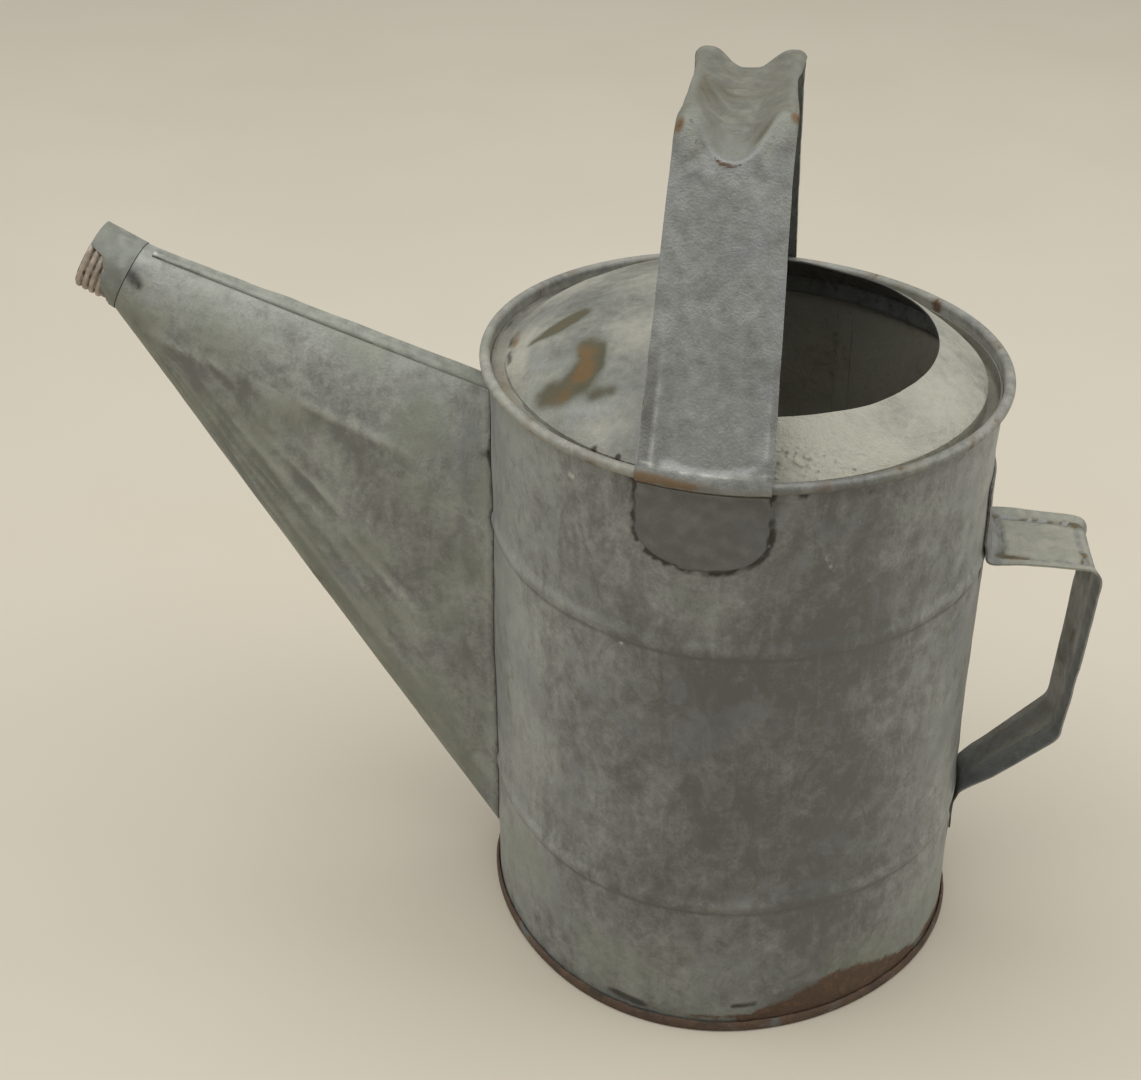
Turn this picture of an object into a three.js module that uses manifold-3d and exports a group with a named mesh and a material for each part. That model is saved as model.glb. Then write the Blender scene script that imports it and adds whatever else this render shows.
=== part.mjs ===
// Weathered watering can of galvanised sheet: a straight round body with a wired rim, a domed breast
// with a half-moon filling opening, a flattened tapering spout, a strap handle over the top and a strap
// handle behind. Millimetres, +Z up. The origin is the middle of the round base on the floor. The spout
// points along -X and the rear handle along +X; the top handle crosses the can along Y.

import * as THREE from 'three';
import { mergeVertices } from 'three/addons/utils/BufferGeometryUtils.js';
import Module from 'manifold-3d';

const wasm = await Module();
wasm.setup();

// Sheet and fits
const SHEET = 0.7;
const STRAP_SHEET = 0.9;
const GAP = 0.3;

// Body
const BODY_RADIUS = 108;
const BODY_HEIGHT = 280;
const RIM_BEAD_RADIUS = 2.3;
const SWAGE_HEIGHTS = [71.7, 203.5];
const SWAGE_RISE = 0.95;
const SWAGE_WIDTH = 9;
const SIDE_SEAM_ANGLE = 66.5;
const SIDE_SEAM_WIDTH = 7.5;
const SIDE_SEAM_RISE_INSIDE = 0.8;
const SIDE_SEAM_RISE_OUTSIDE = 0.5;
const SIDE_SEAM_END_MARGIN = 6;

// Bottom plate and its seam round the foot of the body
const BASE_SEAM_STAND = 2;
const BASE_SEAM_HEIGHT = 5;
const BASE_RING_WIDTH = 5;
const BASE_RING_SLOPE = 2;
const BOTTOM_RECESS = 2.5;

// Breast: the domed top sheet, with a gutter inside the rim
const GUTTER_DEPTH = 13;
const BREAST_FLANGE_TOP = 5.5;
const BREAST_FOOT_RADIUS = 101;
const BREAST_SHOULDER_DEPTH = 4.5;
const BREAST_RISE = 31;
const BREAST_FULLNESS = 3;
const GUTTER_ROUND = 1.2;
const FILLING_RADIUS = 79.5;
const FILLING_CHORD_X = -6;
const FILLING_CORNER_RADIUS = 16;

// Spout: r is measured from the axis of the body towards -X
const SPOUT_TOP_HEIGHT = 261.4;
const SPOUT_BOTTOM_HEIGHT = 23;
const SPOUT_BODY_HALF_WIDTH = 23;
const SPOUT_TIP_RADIUS = 15.6;
const SPOUT_TIP_REACH = 264.5;
const SPOUT_TIP_HEIGHT = 298.9;
const SPOUT_TIP_TILT = 28;
const SPOUT_CREASE_SHARE = 0.72;
const SPOUT_ROOF_FULLNESS = 1.5;
const SPOUT_FLOOR_FULLNESS = 3.8;
const SPOUT_SEAM_RISE = 1.1;
const SPOUT_SEAM_NEAR = -6.5;
const SPOUT_SEAM_FAR = 1.5;
const SPOUT_SEAM_STOP = 5;
const OUTLET_WIDTH = 30;
const OUTLET_BOTTOM = 48;
const OUTLET_TOP = 150;

// Spout end: a sheet sleeve round a ridged nozzle ring. The tear in the sleeve is given as
// [angle from the top, length missing], the same on both sides.
const COLLAR_RADIUS = 15.9;
const COLLAR_LENGTH = 19;
const COLLAR_TEAR = [[0, 0], [62, 0], [70, 8.5], [105, 11.5], [126, 16], [180, 15.5]];
const NOZZLE_BORE_RADIUS = 11.5;
const NOZZLE_LENGTH = 19.5;
const NOZZLE_RIDGE_HEIGHT = 0.9;
const NOZZLE_RIDGE_PITCH = 3;
const NOZZLE_RIDGES = 4;

// Top handle: a wide strap across the can
const TOP_HANDLE_OFFSET = -8.6;
const TOP_HANDLE_TAB_DEPTH = 40.5;
const TOP_HANDLE_TAB_ROUND = 14.5;
const TOP_HANDLE_TAB_END_WIDTH = 16;
const TOP_HANDLE_FOOT_WIDTH = 51.6;
const TOP_HANDLE_BEND_WIDTH = 44.6;
const TOP_HANDLE_CROWN_WIDTH = 44.2;
const TOP_HANDLE_WAIST_WIDTH = 40;
const TOP_HANDLE_BEND_LEAN = 2.4;
const TOP_HANDLE_CROWN_LEAN = 3.3;
const TOP_HANDLE_BEND_SPREAD = 49;
const TOP_HANDLE_BEND_RISE = 108;
const TOP_HANDLE_CROWN_RISE = 118.4;
const TOP_HANDLE_CROWN_SPREAD = 38;
const TOP_HANDLE_EDGE_WIDTH = 8;
const TOP_HANDLE_EDGE_DROP = 3.2;
const TOP_HANDLE_CROWN_EDGE_DROP = 5.8;
const TOP_HANDLE_HORN_SPREAD = 36.8;
const TOP_HANDLE_TROUGH_DEPTH = 8.4;
const TOP_HANDLE_TROUGH_FULLNESS = 3;
const TOP_HANDLE_SCOOP_LENGTH = 18;
const TOP_HANDLE_LEAVE_ANGLE = 35;
const TOP_HANDLE_TUCK_ANGLE = -55;
const TOP_HANDLE_WRAP_FADE = 45;

// Rear handle: a narrower strap behind. Each corner has its reach from the axis, height and width, and the
// skew moves the two edges of the strap in and out by that much.
const REAR_TAB_TOP = 238;
const REAR_TAB_WIDTH = 49;
const REAR_SHELF = { reach: 153.7, height: 199, width: 45.5 };
const REAR_KNEE = { reach: 147.8, height: 109, width: 35 };
const REAR_LOWER_BEND = { reach: 116.7, height: 77.7, width: 29.8 };
const REAR_LOWER_TAB = { top: 63, bottom: 48, width: 26 };
const REAR_FOOT_ROUND = 3.5;
const REAR_SHELF_ROUND = 6;
const REAR_KNEE_ROUND = 8;
const REAR_EDGE_WIDTH = 7;
const REAR_EDGE_RISE = 1.4;
const REAR_SKEW = 1.2;
const REAR_WRAP_FADE = 14;

// Dents: how far the can is out of round, as [waves round the can, size, angle of the peak]
const RIM_OUT_OF_ROUND = [[1, 1.0, 148], [2, 2.4, -45], [3, 1.05, 22]];
const BASE_OUT_OF_ROUND = [[3, 1.3, 31], [4, 0.9, -14]];
const DENT_INNER_FADE = [60, 96];
const DENT_OUTER_FADE = [114, 150];

// Fineness of the round forms
const ROUND_STEPS = 48;
const SPOUT_AROUND = 32;
const SPOUT_ROWS = 9;
const NOZZLE_AROUND = 24;
const COLLAR_AROUND = 40;
const CURL_STEPS = 7;
const WIRE_SIDES = 6;

// Sizes that follow from the ones above
const INNER_RADIUS = BODY_RADIUS - SHEET;
const RIM_CENTRE = { r: INNER_RADIUS + RIM_BEAD_RADIUS, z: BODY_HEIGHT - RIM_BEAD_RADIUS };
const WALL_BOTTOM = SHEET + GAP;
const BASE_SEAM_RADIUS = BODY_RADIUS + BASE_SEAM_STAND;
const BREAST_SHOULDER = BODY_HEIGHT - BREAST_SHOULDER_DEPTH;
const GUTTER_BOTTOM = BODY_HEIGHT - GUTTER_DEPTH;
const TAB_RADIUS = BODY_RADIUS + GAP + STRAP_SHEET / 2;

const rad = THREE.MathUtils.degToRad;
const { lerp, smoothstep } = THREE.MathUtils;

/** Merges a geometry's vertices by position, drops empty triangles and turns its faces outwards. */
function weld(geometry) {
  const bare = new THREE.BufferGeometry();
  bare.setAttribute('position', geometry.getAttribute('position'));
  bare.setIndex(geometry.index);
  const merged = mergeVertices(bare, 1e-4);
  const index = merged.index.array;
  const p = merged.getAttribute('position');
  const kept = [];
  let volume = 0;
  const [a, b, c] = [new THREE.Vector3(), new THREE.Vector3(), new THREE.Vector3()];
  for (let i = 0; i < index.length; i += 3) {
    const [i0, i1, i2] = index.slice(i, i + 3);
    if (i0 === i1 || i1 === i2 || i2 === i0) continue;
    kept.push([i0, i1, i2]);
    b.fromBufferAttribute(p, i1).cross(c.fromBufferAttribute(p, i2));
    volume += a.fromBufferAttribute(p, i0).dot(b);
  }
  const faces = volume < 0 ? kept.map(([i0, i1, i2]) => [i0, i2, i1]) : kept;
  merged.setIndex(faces.flat());
  return merged;
}

/** Turns a profile of [r, z] points round the Z axis. */
function revolve(profile, steps = ROUND_STEPS) {
  const points = profile.map(([r, z]) => new THREE.Vector2(r, z));
  return weld(new THREE.LatheGeometry(points, steps).rotateX(Math.PI / 2));
}

/** Points of an arc as [x, y] pairs, with angles in degrees. */
function arc(x, y, radius, from, to, steps) {
  return Array.from({ length: steps + 1 }, (_, i) => {
    const angle = rad(lerp(from, to, i / steps));
    return [x + radius * Math.cos(angle), y + radius * Math.sin(angle)];
  });
}

/** A closed solid between two grids of points: rows along the piece, columns across it. */
function skinSolid(outer, inner, wrapColumns) {
  const rows = outer.length;
  const columns = outer[0].length;
  const positions = [...outer.flat(), ...inner.flat()].flatMap((v) => v.toArray());
  const at = (layer, i, j) => layer * rows * columns + i * columns + (j % columns);
  const index = [];
  const quad = (a, b, c, d) => index.push(a, b, c, a, c, d);
  const across = wrapColumns ? columns : columns - 1;
  for (let i = 0; i < rows - 1; i++) {
    for (let j = 0; j < across; j++) {
      quad(at(0, i, j), at(0, i, j + 1), at(0, i + 1, j + 1), at(0, i + 1, j));
      quad(at(1, i, j), at(1, i + 1, j), at(1, i + 1, j + 1), at(1, i, j + 1));
    }
    if (!wrapColumns) {
      quad(at(0, i, 0), at(0, i + 1, 0), at(1, i + 1, 0), at(1, i, 0));
      quad(at(0, i, across), at(1, i, across), at(1, i + 1, across), at(0, i + 1, across));
    }
  }
  for (let j = 0; j < across; j++) {
    quad(at(0, 0, j), at(1, 0, j), at(1, 0, j + 1), at(0, 0, j + 1));
    quad(at(0, rows - 1, j), at(0, rows - 1, j + 1), at(1, rows - 1, j + 1), at(1, rows - 1, j));
  }
  const geometry = new THREE.BufferGeometry();
  geometry.setAttribute('position', new THREE.Float32BufferAttribute(positions, 3));
  geometry.setIndex(index);
  return weld(geometry);
}

/** Thickens a grid of points by half a sheet to both sides, along the grid's own normals. */
function thicken(grid, thickness) {
  const rows = grid.length;
  const columns = grid[0].length;
  const normalAt = (i, j) => {
    const along = grid[Math.min(i + 1, rows - 1)][j].clone().sub(grid[Math.max(i - 1, 0)][j]);
    const across = grid[i][Math.min(j + 1, columns - 1)].clone().sub(grid[i][Math.max(j - 1, 0)]);
    return along.cross(across).normalize();
  };
  const shifted = (side) => grid.map((row, i) => row.map(
    (v, j) => v.clone().addScaledVector(normalAt(i, j), side * thickness / 2)));
  return skinSolid(shifted(1), shifted(-1), false);
}

function toManifold(geometry) {
  return new wasm.Manifold(new wasm.Mesh({
    numProp: 3,
    vertProperties: new Float32Array(geometry.getAttribute('position').array),
    triVerts: new Uint32Array(geometry.index.array),
  }));
}

function fromManifold(solid) {
  const mesh = solid.getMesh();
  const geometry = new THREE.BufferGeometry();
  geometry.setAttribute('position', new THREE.BufferAttribute(new Float32Array(mesh.vertProperties), 3));
  geometry.setIndex(new THREE.BufferAttribute(new Uint32Array(mesh.triVerts), 1));
  return geometry;
}

/** The outline of the wall's outer face with its swages, from bottom to top, moved out by offset. */
function wallOutline(offset, bottom, top) {
  const swage = (height) => [[-0.5, 0], [-0.25, 0.62], [0, 1], [0.25, 0.62], [0.5, 0]].map(
    ([along, rise]) => [BODY_RADIUS + offset + rise * SWAGE_RISE, height + along * SWAGE_WIDTH]);
  return [
    [BODY_RADIUS + offset, bottom],
    ...SWAGE_HEIGHTS.flatMap(swage),
    [BODY_RADIUS + offset, top],
  ];
}

/** Body: the rolled wall with its swages, the rim curled over the wire, and the folded side seam. */
function bodyShell() {
  const { r, z } = RIM_CENTRE;
  const curlEnd = -180 + THREE.MathUtils.radToDeg(Math.acos((r - BODY_RADIUS - GAP) / RIM_BEAD_RADIUS));
  const outside = wallOutline(0, WALL_BOTTOM, z - RIM_BEAD_RADIUS);
  const inside = wallOutline(-SHEET, WALL_BOTTOM, z - RIM_BEAD_RADIUS).reverse();
  const profile = [
    ...outside,
    ...arc(r, z, RIM_BEAD_RADIUS - SHEET, 180, curlEnd, CURL_STEPS),
    ...arc(r, z, RIM_BEAD_RADIUS, curlEnd, 180, CURL_STEPS),
    ...inside,
    outside[0],
  ];
  const wall = toManifold(revolve(profile));
  return fromManifold(wall.add(sideSeam()).subtract(outletCutter()));
}

/** The folded side seam, a low flat band on both faces of the wall. */
function sideSeam() {
  const halfAngle = THREE.MathUtils.radToDeg(SIDE_SEAM_WIDTH / 2 / BODY_RADIUS);
  const heights = [
    WALL_BOTTOM + BASE_SEAM_HEIGHT + SIDE_SEAM_END_MARGIN,
    GUTTER_BOTTOM - SIDE_SEAM_END_MARGIN,
  ];
  const face = (radius) => heights.map((z) => [-1, 0, 1].map((side) => {
    const angle = rad(SIDE_SEAM_ANGLE + side * halfAngle);
    return new THREE.Vector3(radius * Math.cos(angle), radius * Math.sin(angle), z);
  }));
  const outer = face(BODY_RADIUS + SIDE_SEAM_RISE_OUTSIDE);
  return toManifold(skinSolid(outer, face(INNER_RADIUS - SIDE_SEAM_RISE_INSIDE), false));
}

/** The round-ended hole that lets water from the body into the spout. */
function outletCutter() {
  const half = OUTLET_WIDTH / 2;
  const shape = new THREE.Shape();
  shape.absarc(0, OUTLET_TOP - half, half, 0, Math.PI, false);
  shape.absarc(0, OUTLET_BOTTOM + half, half, Math.PI, 2 * Math.PI, false);
  const depth = BODY_RADIUS / 2;
  const slot = new THREE.ExtrudeGeometry(shape, { depth, bevelEnabled: false, curveSegments: 10 });
  slot.rotateX(Math.PI / 2).rotateZ(Math.PI / 2).translate(-BODY_RADIUS - depth / 2, 0, 0);
  return toManifold(weld(slot));
}

/** The wire that the rim is curled round. */
function rimWire() {
  const radius = RIM_BEAD_RADIUS - SHEET - GAP;
  return revolve(arc(RIM_CENTRE.r, RIM_CENTRE.z, radius, 0, 360, WIRE_SIDES));
}

/** Bottom plate: recessed disc, flat ring that stands on the floor, and an edge turned up outside. */
function bottomPlate() {
  const edge = BASE_SEAM_RADIUS - SHEET;
  const ringInner = BASE_SEAM_RADIUS - BASE_RING_WIDTH;
  return revolve([
    [0, BOTTOM_RECESS],
    [ringInner - BASE_RING_SLOPE, BOTTOM_RECESS],
    [ringInner, 0],
    [BASE_SEAM_RADIUS, 0],
    [BASE_SEAM_RADIUS, BASE_SEAM_HEIGHT],
    [edge, BASE_SEAM_HEIGHT],
    [edge, SHEET],
    [ringInner + SHEET / 2, SHEET],
    [ringInner - BASE_RING_SLOPE + SHEET / 2, BOTTOM_RECESS + SHEET],
    [0, BOTTOM_RECESS + SHEET],
  ]);
}

/** Height of the dome's middle surface above the floor at a radius. */
function domeHeight(radius) {
  return BREAST_SHOULDER + BREAST_RISE * (1 - (radius / BREAST_FOOT_RADIUS) ** BREAST_FULLNESS);
}

/** Breast: flange against the wall, gutter and dome, with the half-moon filling opening cut out. */
function breast() {
  const flange = INNER_RADIUS - GAP;
  const foot = BREAST_FOOT_RADIUS;
  const round = GUTTER_ROUND;
  const dome = [0.98, 0.92, 0.83, 0.7, 0.52, 0.3, 0].map(
    (share) => [share * foot, domeHeight(share * foot)]);
  const flangeTop = BODY_HEIGHT - BREAST_FLANGE_TOP;
  const upper = [
    [flange - SHEET, flangeTop],
    [flange - SHEET, GUTTER_BOTTOM + round],
    [flange - SHEET - round, GUTTER_BOTTOM],
    [foot + round, GUTTER_BOTTOM],
    [foot, GUTTER_BOTTOM + round],
    [foot, BREAST_SHOULDER],
    ...dome,
  ];
  const lower = [
    ...dome.map(([r, z]) => [Math.max(r - SHEET * 0.5 * (r / foot), 0), z - SHEET]).reverse(),
    [foot - SHEET, BREAST_SHOULDER - SHEET],
    [foot - SHEET, GUTTER_BOTTOM],
    [foot, GUTTER_BOTTOM - SHEET],
    [flange - SHEET, GUTTER_BOTTOM - SHEET],
    [flange, GUTTER_BOTTOM],
    [flange, flangeTop],
    upper[0],
  ];
  return fromManifold(toManifold(revolve([...upper, ...lower])).subtract(fillingCutter()));
}

/** A half-moon prism: an arc about the body's axis and a chord, with rounded corners. */
function fillingCutter() {
  const centreX = FILLING_CHORD_X + FILLING_CORNER_RADIUS;
  const centreY = Math.sqrt((FILLING_RADIUS - FILLING_CORNER_RADIUS) ** 2 - centreX ** 2);
  const corner = Math.atan2(centreY, centreX);
  const shape = new THREE.Shape();
  shape.absarc(centreX, -centreY, FILLING_CORNER_RADIUS, -Math.PI, -corner, false);
  shape.absarc(0, 0, FILLING_RADIUS, -corner, corner, false);
  shape.absarc(centreX, centreY, FILLING_CORNER_RADIUS, corner, Math.PI, false);
  const depth = GUTTER_DEPTH + BREAST_RISE + RIM_BEAD_RADIUS;
  const prism = new THREE.ExtrudeGeometry(shape, { depth, bevelEnabled: false, curveSegments: 24 });
  return toManifold(weld(prism.translate(0, 0, GUTTER_BOTTOM)));
}

/** A point in the upright plane of the spout, r towards -X, at a sideways distance y. */
function spoutPoint(r, y, z) {
  return new THREE.Vector3(-r, y, z);
}

/** Top and bottom of the spout at a share t of its length, 0 at the wall and 1 at the round tip. */
function spoutSpine(t) {
  const [sin, cos] = [Math.sin(rad(SPOUT_TIP_TILT)), Math.cos(rad(SPOUT_TIP_TILT))];
  return {
    top: [
      lerp(BODY_RADIUS, SPOUT_TIP_REACH - SPOUT_TIP_RADIUS * sin, t),
      lerp(SPOUT_TOP_HEIGHT, SPOUT_TIP_HEIGHT + SPOUT_TIP_RADIUS * cos, t),
    ],
    bottom: [
      lerp(BODY_RADIUS, SPOUT_TIP_REACH + SPOUT_TIP_RADIUS * sin, t),
      lerp(SPOUT_BOTTOM_HEIGHT, SPOUT_TIP_HEIGHT - SPOUT_TIP_RADIUS * cos, t),
    ],
  };
}

/** How full the roof or floor of the spout is at t: a low number gives a sharp ridge, 2 an ellipse. */
function spoutFullness(atBody, t) {
  return lerp(atBody, 2, Math.max(t, 0) ** 3);
}

/** A point of the spout's skin at t along it and an angle from the top, moved in by inset. */
function spoutSkin(t, angle, inset) {
  const { top, bottom } = spoutSpine(t);
  const height = Math.hypot(top[0] - bottom[0], top[1] - bottom[1]);
  const down = [(bottom[0] - top[0]) / height, (bottom[1] - top[1]) / height];
  const crease = height * (1 - lerp(SPOUT_CREASE_SHARE, 0.5, Math.max(t, 0) ** 4));
  const roof = Math.cos(angle) >= 0;
  const power = 2 / spoutFullness(roof ? SPOUT_ROOF_FULLNESS : SPOUT_FLOOR_FULLNESS, t);
  const reach = (roof ? crease : height - crease) - inset;
  const halfWidth = lerp(SPOUT_BODY_HALF_WIDTH, SPOUT_TIP_RADIUS, t) - inset;
  const along = crease - Math.sign(Math.cos(angle)) * reach * Math.abs(Math.cos(angle)) ** power;
  const y = halfWidth * Math.sign(Math.sin(angle)) * Math.abs(Math.sin(angle)) ** power;
  return spoutPoint(top[0] + down[0] * along, y, top[1] + down[1] * along);
}

/** The angle from the top at which the spout's skin lies a distance y from its middle plane. */
function spoutAngleAt(t, y) {
  const halfWidth = lerp(SPOUT_BODY_HALF_WIDTH, SPOUT_TIP_RADIUS, t);
  return Math.sign(y) * Math.asin((Math.abs(y) / halfWidth) ** (spoutFullness(SPOUT_ROOF_FULLNESS, t) / 2));
}

/** Spout: the tapering sheet with its folded top seam, trimmed to the wall of the body. */
function spoutShell() {
  const start = -0.06;
  const shares = Array.from({ length: SPOUT_ROWS + 1 }, (_, i) => lerp(start, 1, (i / SPOUT_ROWS) ** 0.9));
  const ring = (t, inset) => Array.from({ length: SPOUT_AROUND },
    (_, j) => spoutSkin(t, (j / SPOUT_AROUND) * 2 * Math.PI, inset));
  const tube = skinSolid(shares.map((t) => ring(t, 0)), shares.map((t) => ring(t, SHEET)), true);

  const spine = spoutSpine(1);
  const length = Math.hypot(spine.top[0] - BODY_RADIUS, spine.top[1] - SPOUT_TOP_HEIGHT);
  const seamEnd = 1 - SPOUT_SEAM_STOP / length;
  const seamShares = shares.map((t) => lerp(start, seamEnd, (t - start) / (1 - start)));
  const seamColumns = [SPOUT_SEAM_FAR, 0, SPOUT_SEAM_NEAR / 2, SPOUT_SEAM_NEAR];
  const seamFace = (lift) => seamShares.map(
    (t) => seamColumns.map((y) => spoutSkin(t, spoutAngleAt(t, y), -lift)));
  const seam = skinSolid(seamFace(SPOUT_SEAM_RISE), seamFace(-SHEET / 2), false);

  const clearance = wallOutline(GAP, -SPOUT_BOTTOM_HEIGHT, BODY_HEIGHT + BREAST_RISE);
  const keepOut = revolve([[0, clearance[0][1]], ...clearance, [0, clearance.at(-1)[1]]]);
  return fromManifold(toManifold(tube).add(toManifold(seam)).subtract(toManifold(keepOut)));
}

/** Moves a geometry made along +Z from the origin to the spout's tip, along the tip's axis. */
function placeAtTip(geometry) {
  return geometry.rotateY(rad(SPOUT_TIP_TILT - 90)).translate(-SPOUT_TIP_REACH, 0, SPOUT_TIP_HEIGHT);
}

/** The length that is torn off the sleeve at an angle from its top, in degrees. */
function tornLength(angle) {
  const next = COLLAR_TEAR.findIndex(([a]) => a >= angle);
  if (next <= 0) return COLLAR_TEAR[0][1];
  const [[a0, torn0], [a1, torn1]] = COLLAR_TEAR.slice(next - 1, next + 1);
  return lerp(torn0, torn1, (angle - a0) / (a1 - a0));
}

/** Sleeve at the end of the spout, full length above and torn short below. */
function spoutCollar() {
  const angles = Array.from({ length: COLLAR_AROUND }, (_, i) => (i / COLLAR_AROUND) * 360);
  const face = (radius) => [0, 1].map((share) => angles.map((angle) => {
    const length = COLLAR_LENGTH - tornLength(Math.min(angle, 360 - angle));
    const [x, y] = [radius * Math.cos(rad(angle)), radius * Math.sin(rad(angle))];
    return new THREE.Vector3(x, y, lerp(GAP, length, share));
  }));
  return placeAtTip(skinSolid(face(COLLAR_RADIUS), face(COLLAR_RADIUS - SHEET), true));
}

/** Ridged ring inside the sleeve, which once took a sprinkler rose. */
function nozzleRing() {
  const crest = COLLAR_RADIUS - SHEET - GAP;
  const root = crest - NOZZLE_RIDGE_HEIGHT;
  const half = NOZZLE_RIDGE_PITCH / 2;
  const ridges = Array.from({ length: NOZZLE_RIDGES }, (_, i) => {
    const end = NOZZLE_LENGTH - (NOZZLE_RIDGES - 1 - i) * NOZZLE_RIDGE_PITCH;
    return [[root, end - 2 * half], [crest, end - 1.3 * half], [crest, end - 0.5 * half], [root, end]];
  });
  const outline = [[root, GAP], ...ridges.flat()].filter(
    ([r, z], i, all) => i === 0 || r !== all[i - 1][0] || z !== all[i - 1][1]);
  const closed = [...outline, [NOZZLE_BORE_RADIUS, NOZZLE_LENGTH], [NOZZLE_BORE_RADIUS, GAP], outline[0]];
  return placeAtTip(revolve(closed, NOZZLE_AROUND));
}

/** Rounds the corners of a path of stations { a, z, width, round } and returns plain stations. */
function roundedPath(stations, steps) {
  return stations.flatMap((station, i) => {
    if (!station.round) return [station];
    const [before, after] = [stations[i - 1], stations[i + 1]];
    const corner = new THREE.Vector2(station.a, station.z);
    const back = new THREE.Vector2(before.a, before.z).sub(corner);
    const on = new THREE.Vector2(after.a, after.z).sub(corner);
    const turn = Math.PI - back.angleTo(on);
    const cut = Math.min(station.round * Math.tan(turn / 2), back.length() / 2, on.length() / 2);
    const start = corner.clone().addScaledVector(back.normalize(), cut);
    const end = corner.clone().addScaledVector(on.normalize(), cut);
    const curve = new THREE.QuadraticBezierCurve(start, corner, end);
    return curve.getPoints(steps).map((p) => ({ ...station, a: p.x, z: p.y }));
  });
}

/** A station between two others, at a share of the way. */
function between(from, to, share) {
  return {
    a: lerp(from.a, to.a, share),
    z: lerp(from.z, to.z, share),
    width: lerp(from.width, to.width, share),
    lean: lerp(from.lean, to.lean, share),
  };
}

/** Half of the top handle's path, from the tab on the wall to the middle of the crown. */
function topHandleHalf() {
  const { r, z } = RIM_CENTRE;
  const seat = RIM_BEAD_RADIUS + GAP + STRAP_SHEET / 2;
  const tabBottom = BODY_HEIGHT - TOP_HANDLE_TAB_DEPTH;
  const tab = [0, 0.06, 0.25, 0.6, 1].map((share) => ({
    a: TAB_RADIUS,
    z: tabBottom + share * TOP_HANDLE_TAB_ROUND,
    width: Math.max(TOP_HANDLE_TAB_END_WIDTH, TOP_HANDLE_FOOT_WIDTH * Math.sqrt(1 - (1 - share) ** 2)),
    lean: 0,
  }));
  const foot = arc(r, z, seat, TOP_HANDLE_TUCK_ANGLE, TOP_HANDLE_LEAVE_ANGLE, 5).map(
    ([a, height]) => ({ a, z: height, width: TOP_HANDLE_FOOT_WIDTH, lean: 0 }));
  const tuck = { ...foot[0], a: TAB_RADIUS, z: foot[0].z - (foot[0].a - TAB_RADIUS) / 2 };
  const bend = {
    a: TOP_HANDLE_BEND_SPREAD,
    z: BODY_HEIGHT + TOP_HANDLE_BEND_RISE,
    width: TOP_HANDLE_BEND_WIDTH,
    lean: TOP_HANDLE_BEND_LEAN,
  };
  const shoulder = {
    a: TOP_HANDLE_CROWN_SPREAD,
    z: BODY_HEIGHT + TOP_HANDLE_CROWN_RISE,
    width: TOP_HANDLE_CROWN_WIDTH,
    lean: TOP_HANDLE_CROWN_LEAN,
  };
  const middle = { ...shoulder, a: 0, width: TOP_HANDLE_WAIST_WIDTH };
  const leg = [0.08, 0.2, 0.4, 0.65, 0.85].map((share) => between(foot.at(-1), bend, share));
  const turnStart = between(bend, foot.at(-1), 0.06);
  const turn = new THREE.QuadraticBezierCurve(
    new THREE.Vector2(turnStart.a, turnStart.z),
    new THREE.Vector2(bend.a - (shoulder.z - bend.z) / 2, shoulder.z),
    new THREE.Vector2(shoulder.a, shoulder.z));
  const steps = 5;
  const round = turn.getPoints(steps).map(
    (p, i) => ({ ...between(turnStart, shoulder, i / steps), a: p.x, z: p.y }));
  const crown = [0.4, 0.8].map((share) => between(shoulder, middle, share));
  return [...tab, tuck, ...foot, ...leg, ...round, ...crown];
}

/** How far a point of the top handle's section lies below the strap's highest line. */
function topHandleDrop(x, halfWidth, crownShare, legShare) {
  const horn = TOP_HANDLE_HORN_SPREAD / 2;
  const edgeStart = lerp(halfWidth - TOP_HANDLE_EDGE_WIDTH, horn, crownShare);
  const edge = Math.max(Math.abs(x) - edgeStart, 0) / Math.max(halfWidth - edgeStart, 1);
  const trough = Math.max(1 - (Math.abs(x) / horn) ** TOP_HANDLE_TROUGH_FULLNESS, 0);
  const edgeDrop = lerp(TOP_HANDLE_EDGE_DROP, TOP_HANDLE_CROWN_EDGE_DROP, crownShare);
  return edgeDrop * edge * Math.max(legShare, crownShare) + TOP_HANDLE_TROUGH_DEPTH * trough * crownShare;
}

/** Top handle: tab, leg, troughed crown, leg and tab, in one strap. */
function topHandle() {
  const half = topHandleHalf();
  const stations = [
    ...half.map((s) => ({ ...s, side: -1 })),
    ...half.map((s) => ({ ...s, side: 1 })).reverse(),
  ];
  const columns = [-1, -0.92, -0.8, -0.45, 0, 0.45, 0.8, 0.92, 1];
  const rimTop = RIM_CENTRE.z + RIM_BEAD_RADIUS;
  const crownZ = BODY_HEIGHT + TOP_HANDLE_CROWN_RISE;
  const scoopBottom = BODY_HEIGHT + TOP_HANDLE_BEND_RISE - TOP_HANDLE_SCOOP_LENGTH;
  const grid = stations.map((s, i) => {
    const before = stations[Math.max(i - 1, 0)];
    const after = stations[Math.min(i + 1, stations.length - 1)];
    const tangent = new THREE.Vector2(
      after.a * after.side - before.a * before.side, after.z - before.z).normalize();
    const normal = new THREE.Vector2(-tangent.y, tangent.x);
    const wrap = 1 - smoothstep(s.z, rimTop, rimTop + TOP_HANDLE_WRAP_FADE);
    const crownShare = smoothstep(s.z, scoopBottom, crownZ);
    const legShare = smoothstep(s.z, rimTop + SHEET, rimTop + TOP_HANDLE_WRAP_FADE);
    return columns.map((u) => {
      const x = u * s.width / 2;
      const onCan = x + TOP_HANDLE_OFFSET + s.lean;
      const drop = topHandleDrop(x, s.width / 2, crownShare, legShare);
      const sag = wrap && (s.a - Math.sqrt(s.a ** 2 - onCan ** 2)) * wrap;
      return new THREE.Vector3(
        onCan,
        s.side * (s.a - sag) - normal.x * drop,
        s.z - normal.y * drop);
    });
  });
  return thicken(grid, STRAP_SHEET);
}

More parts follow.
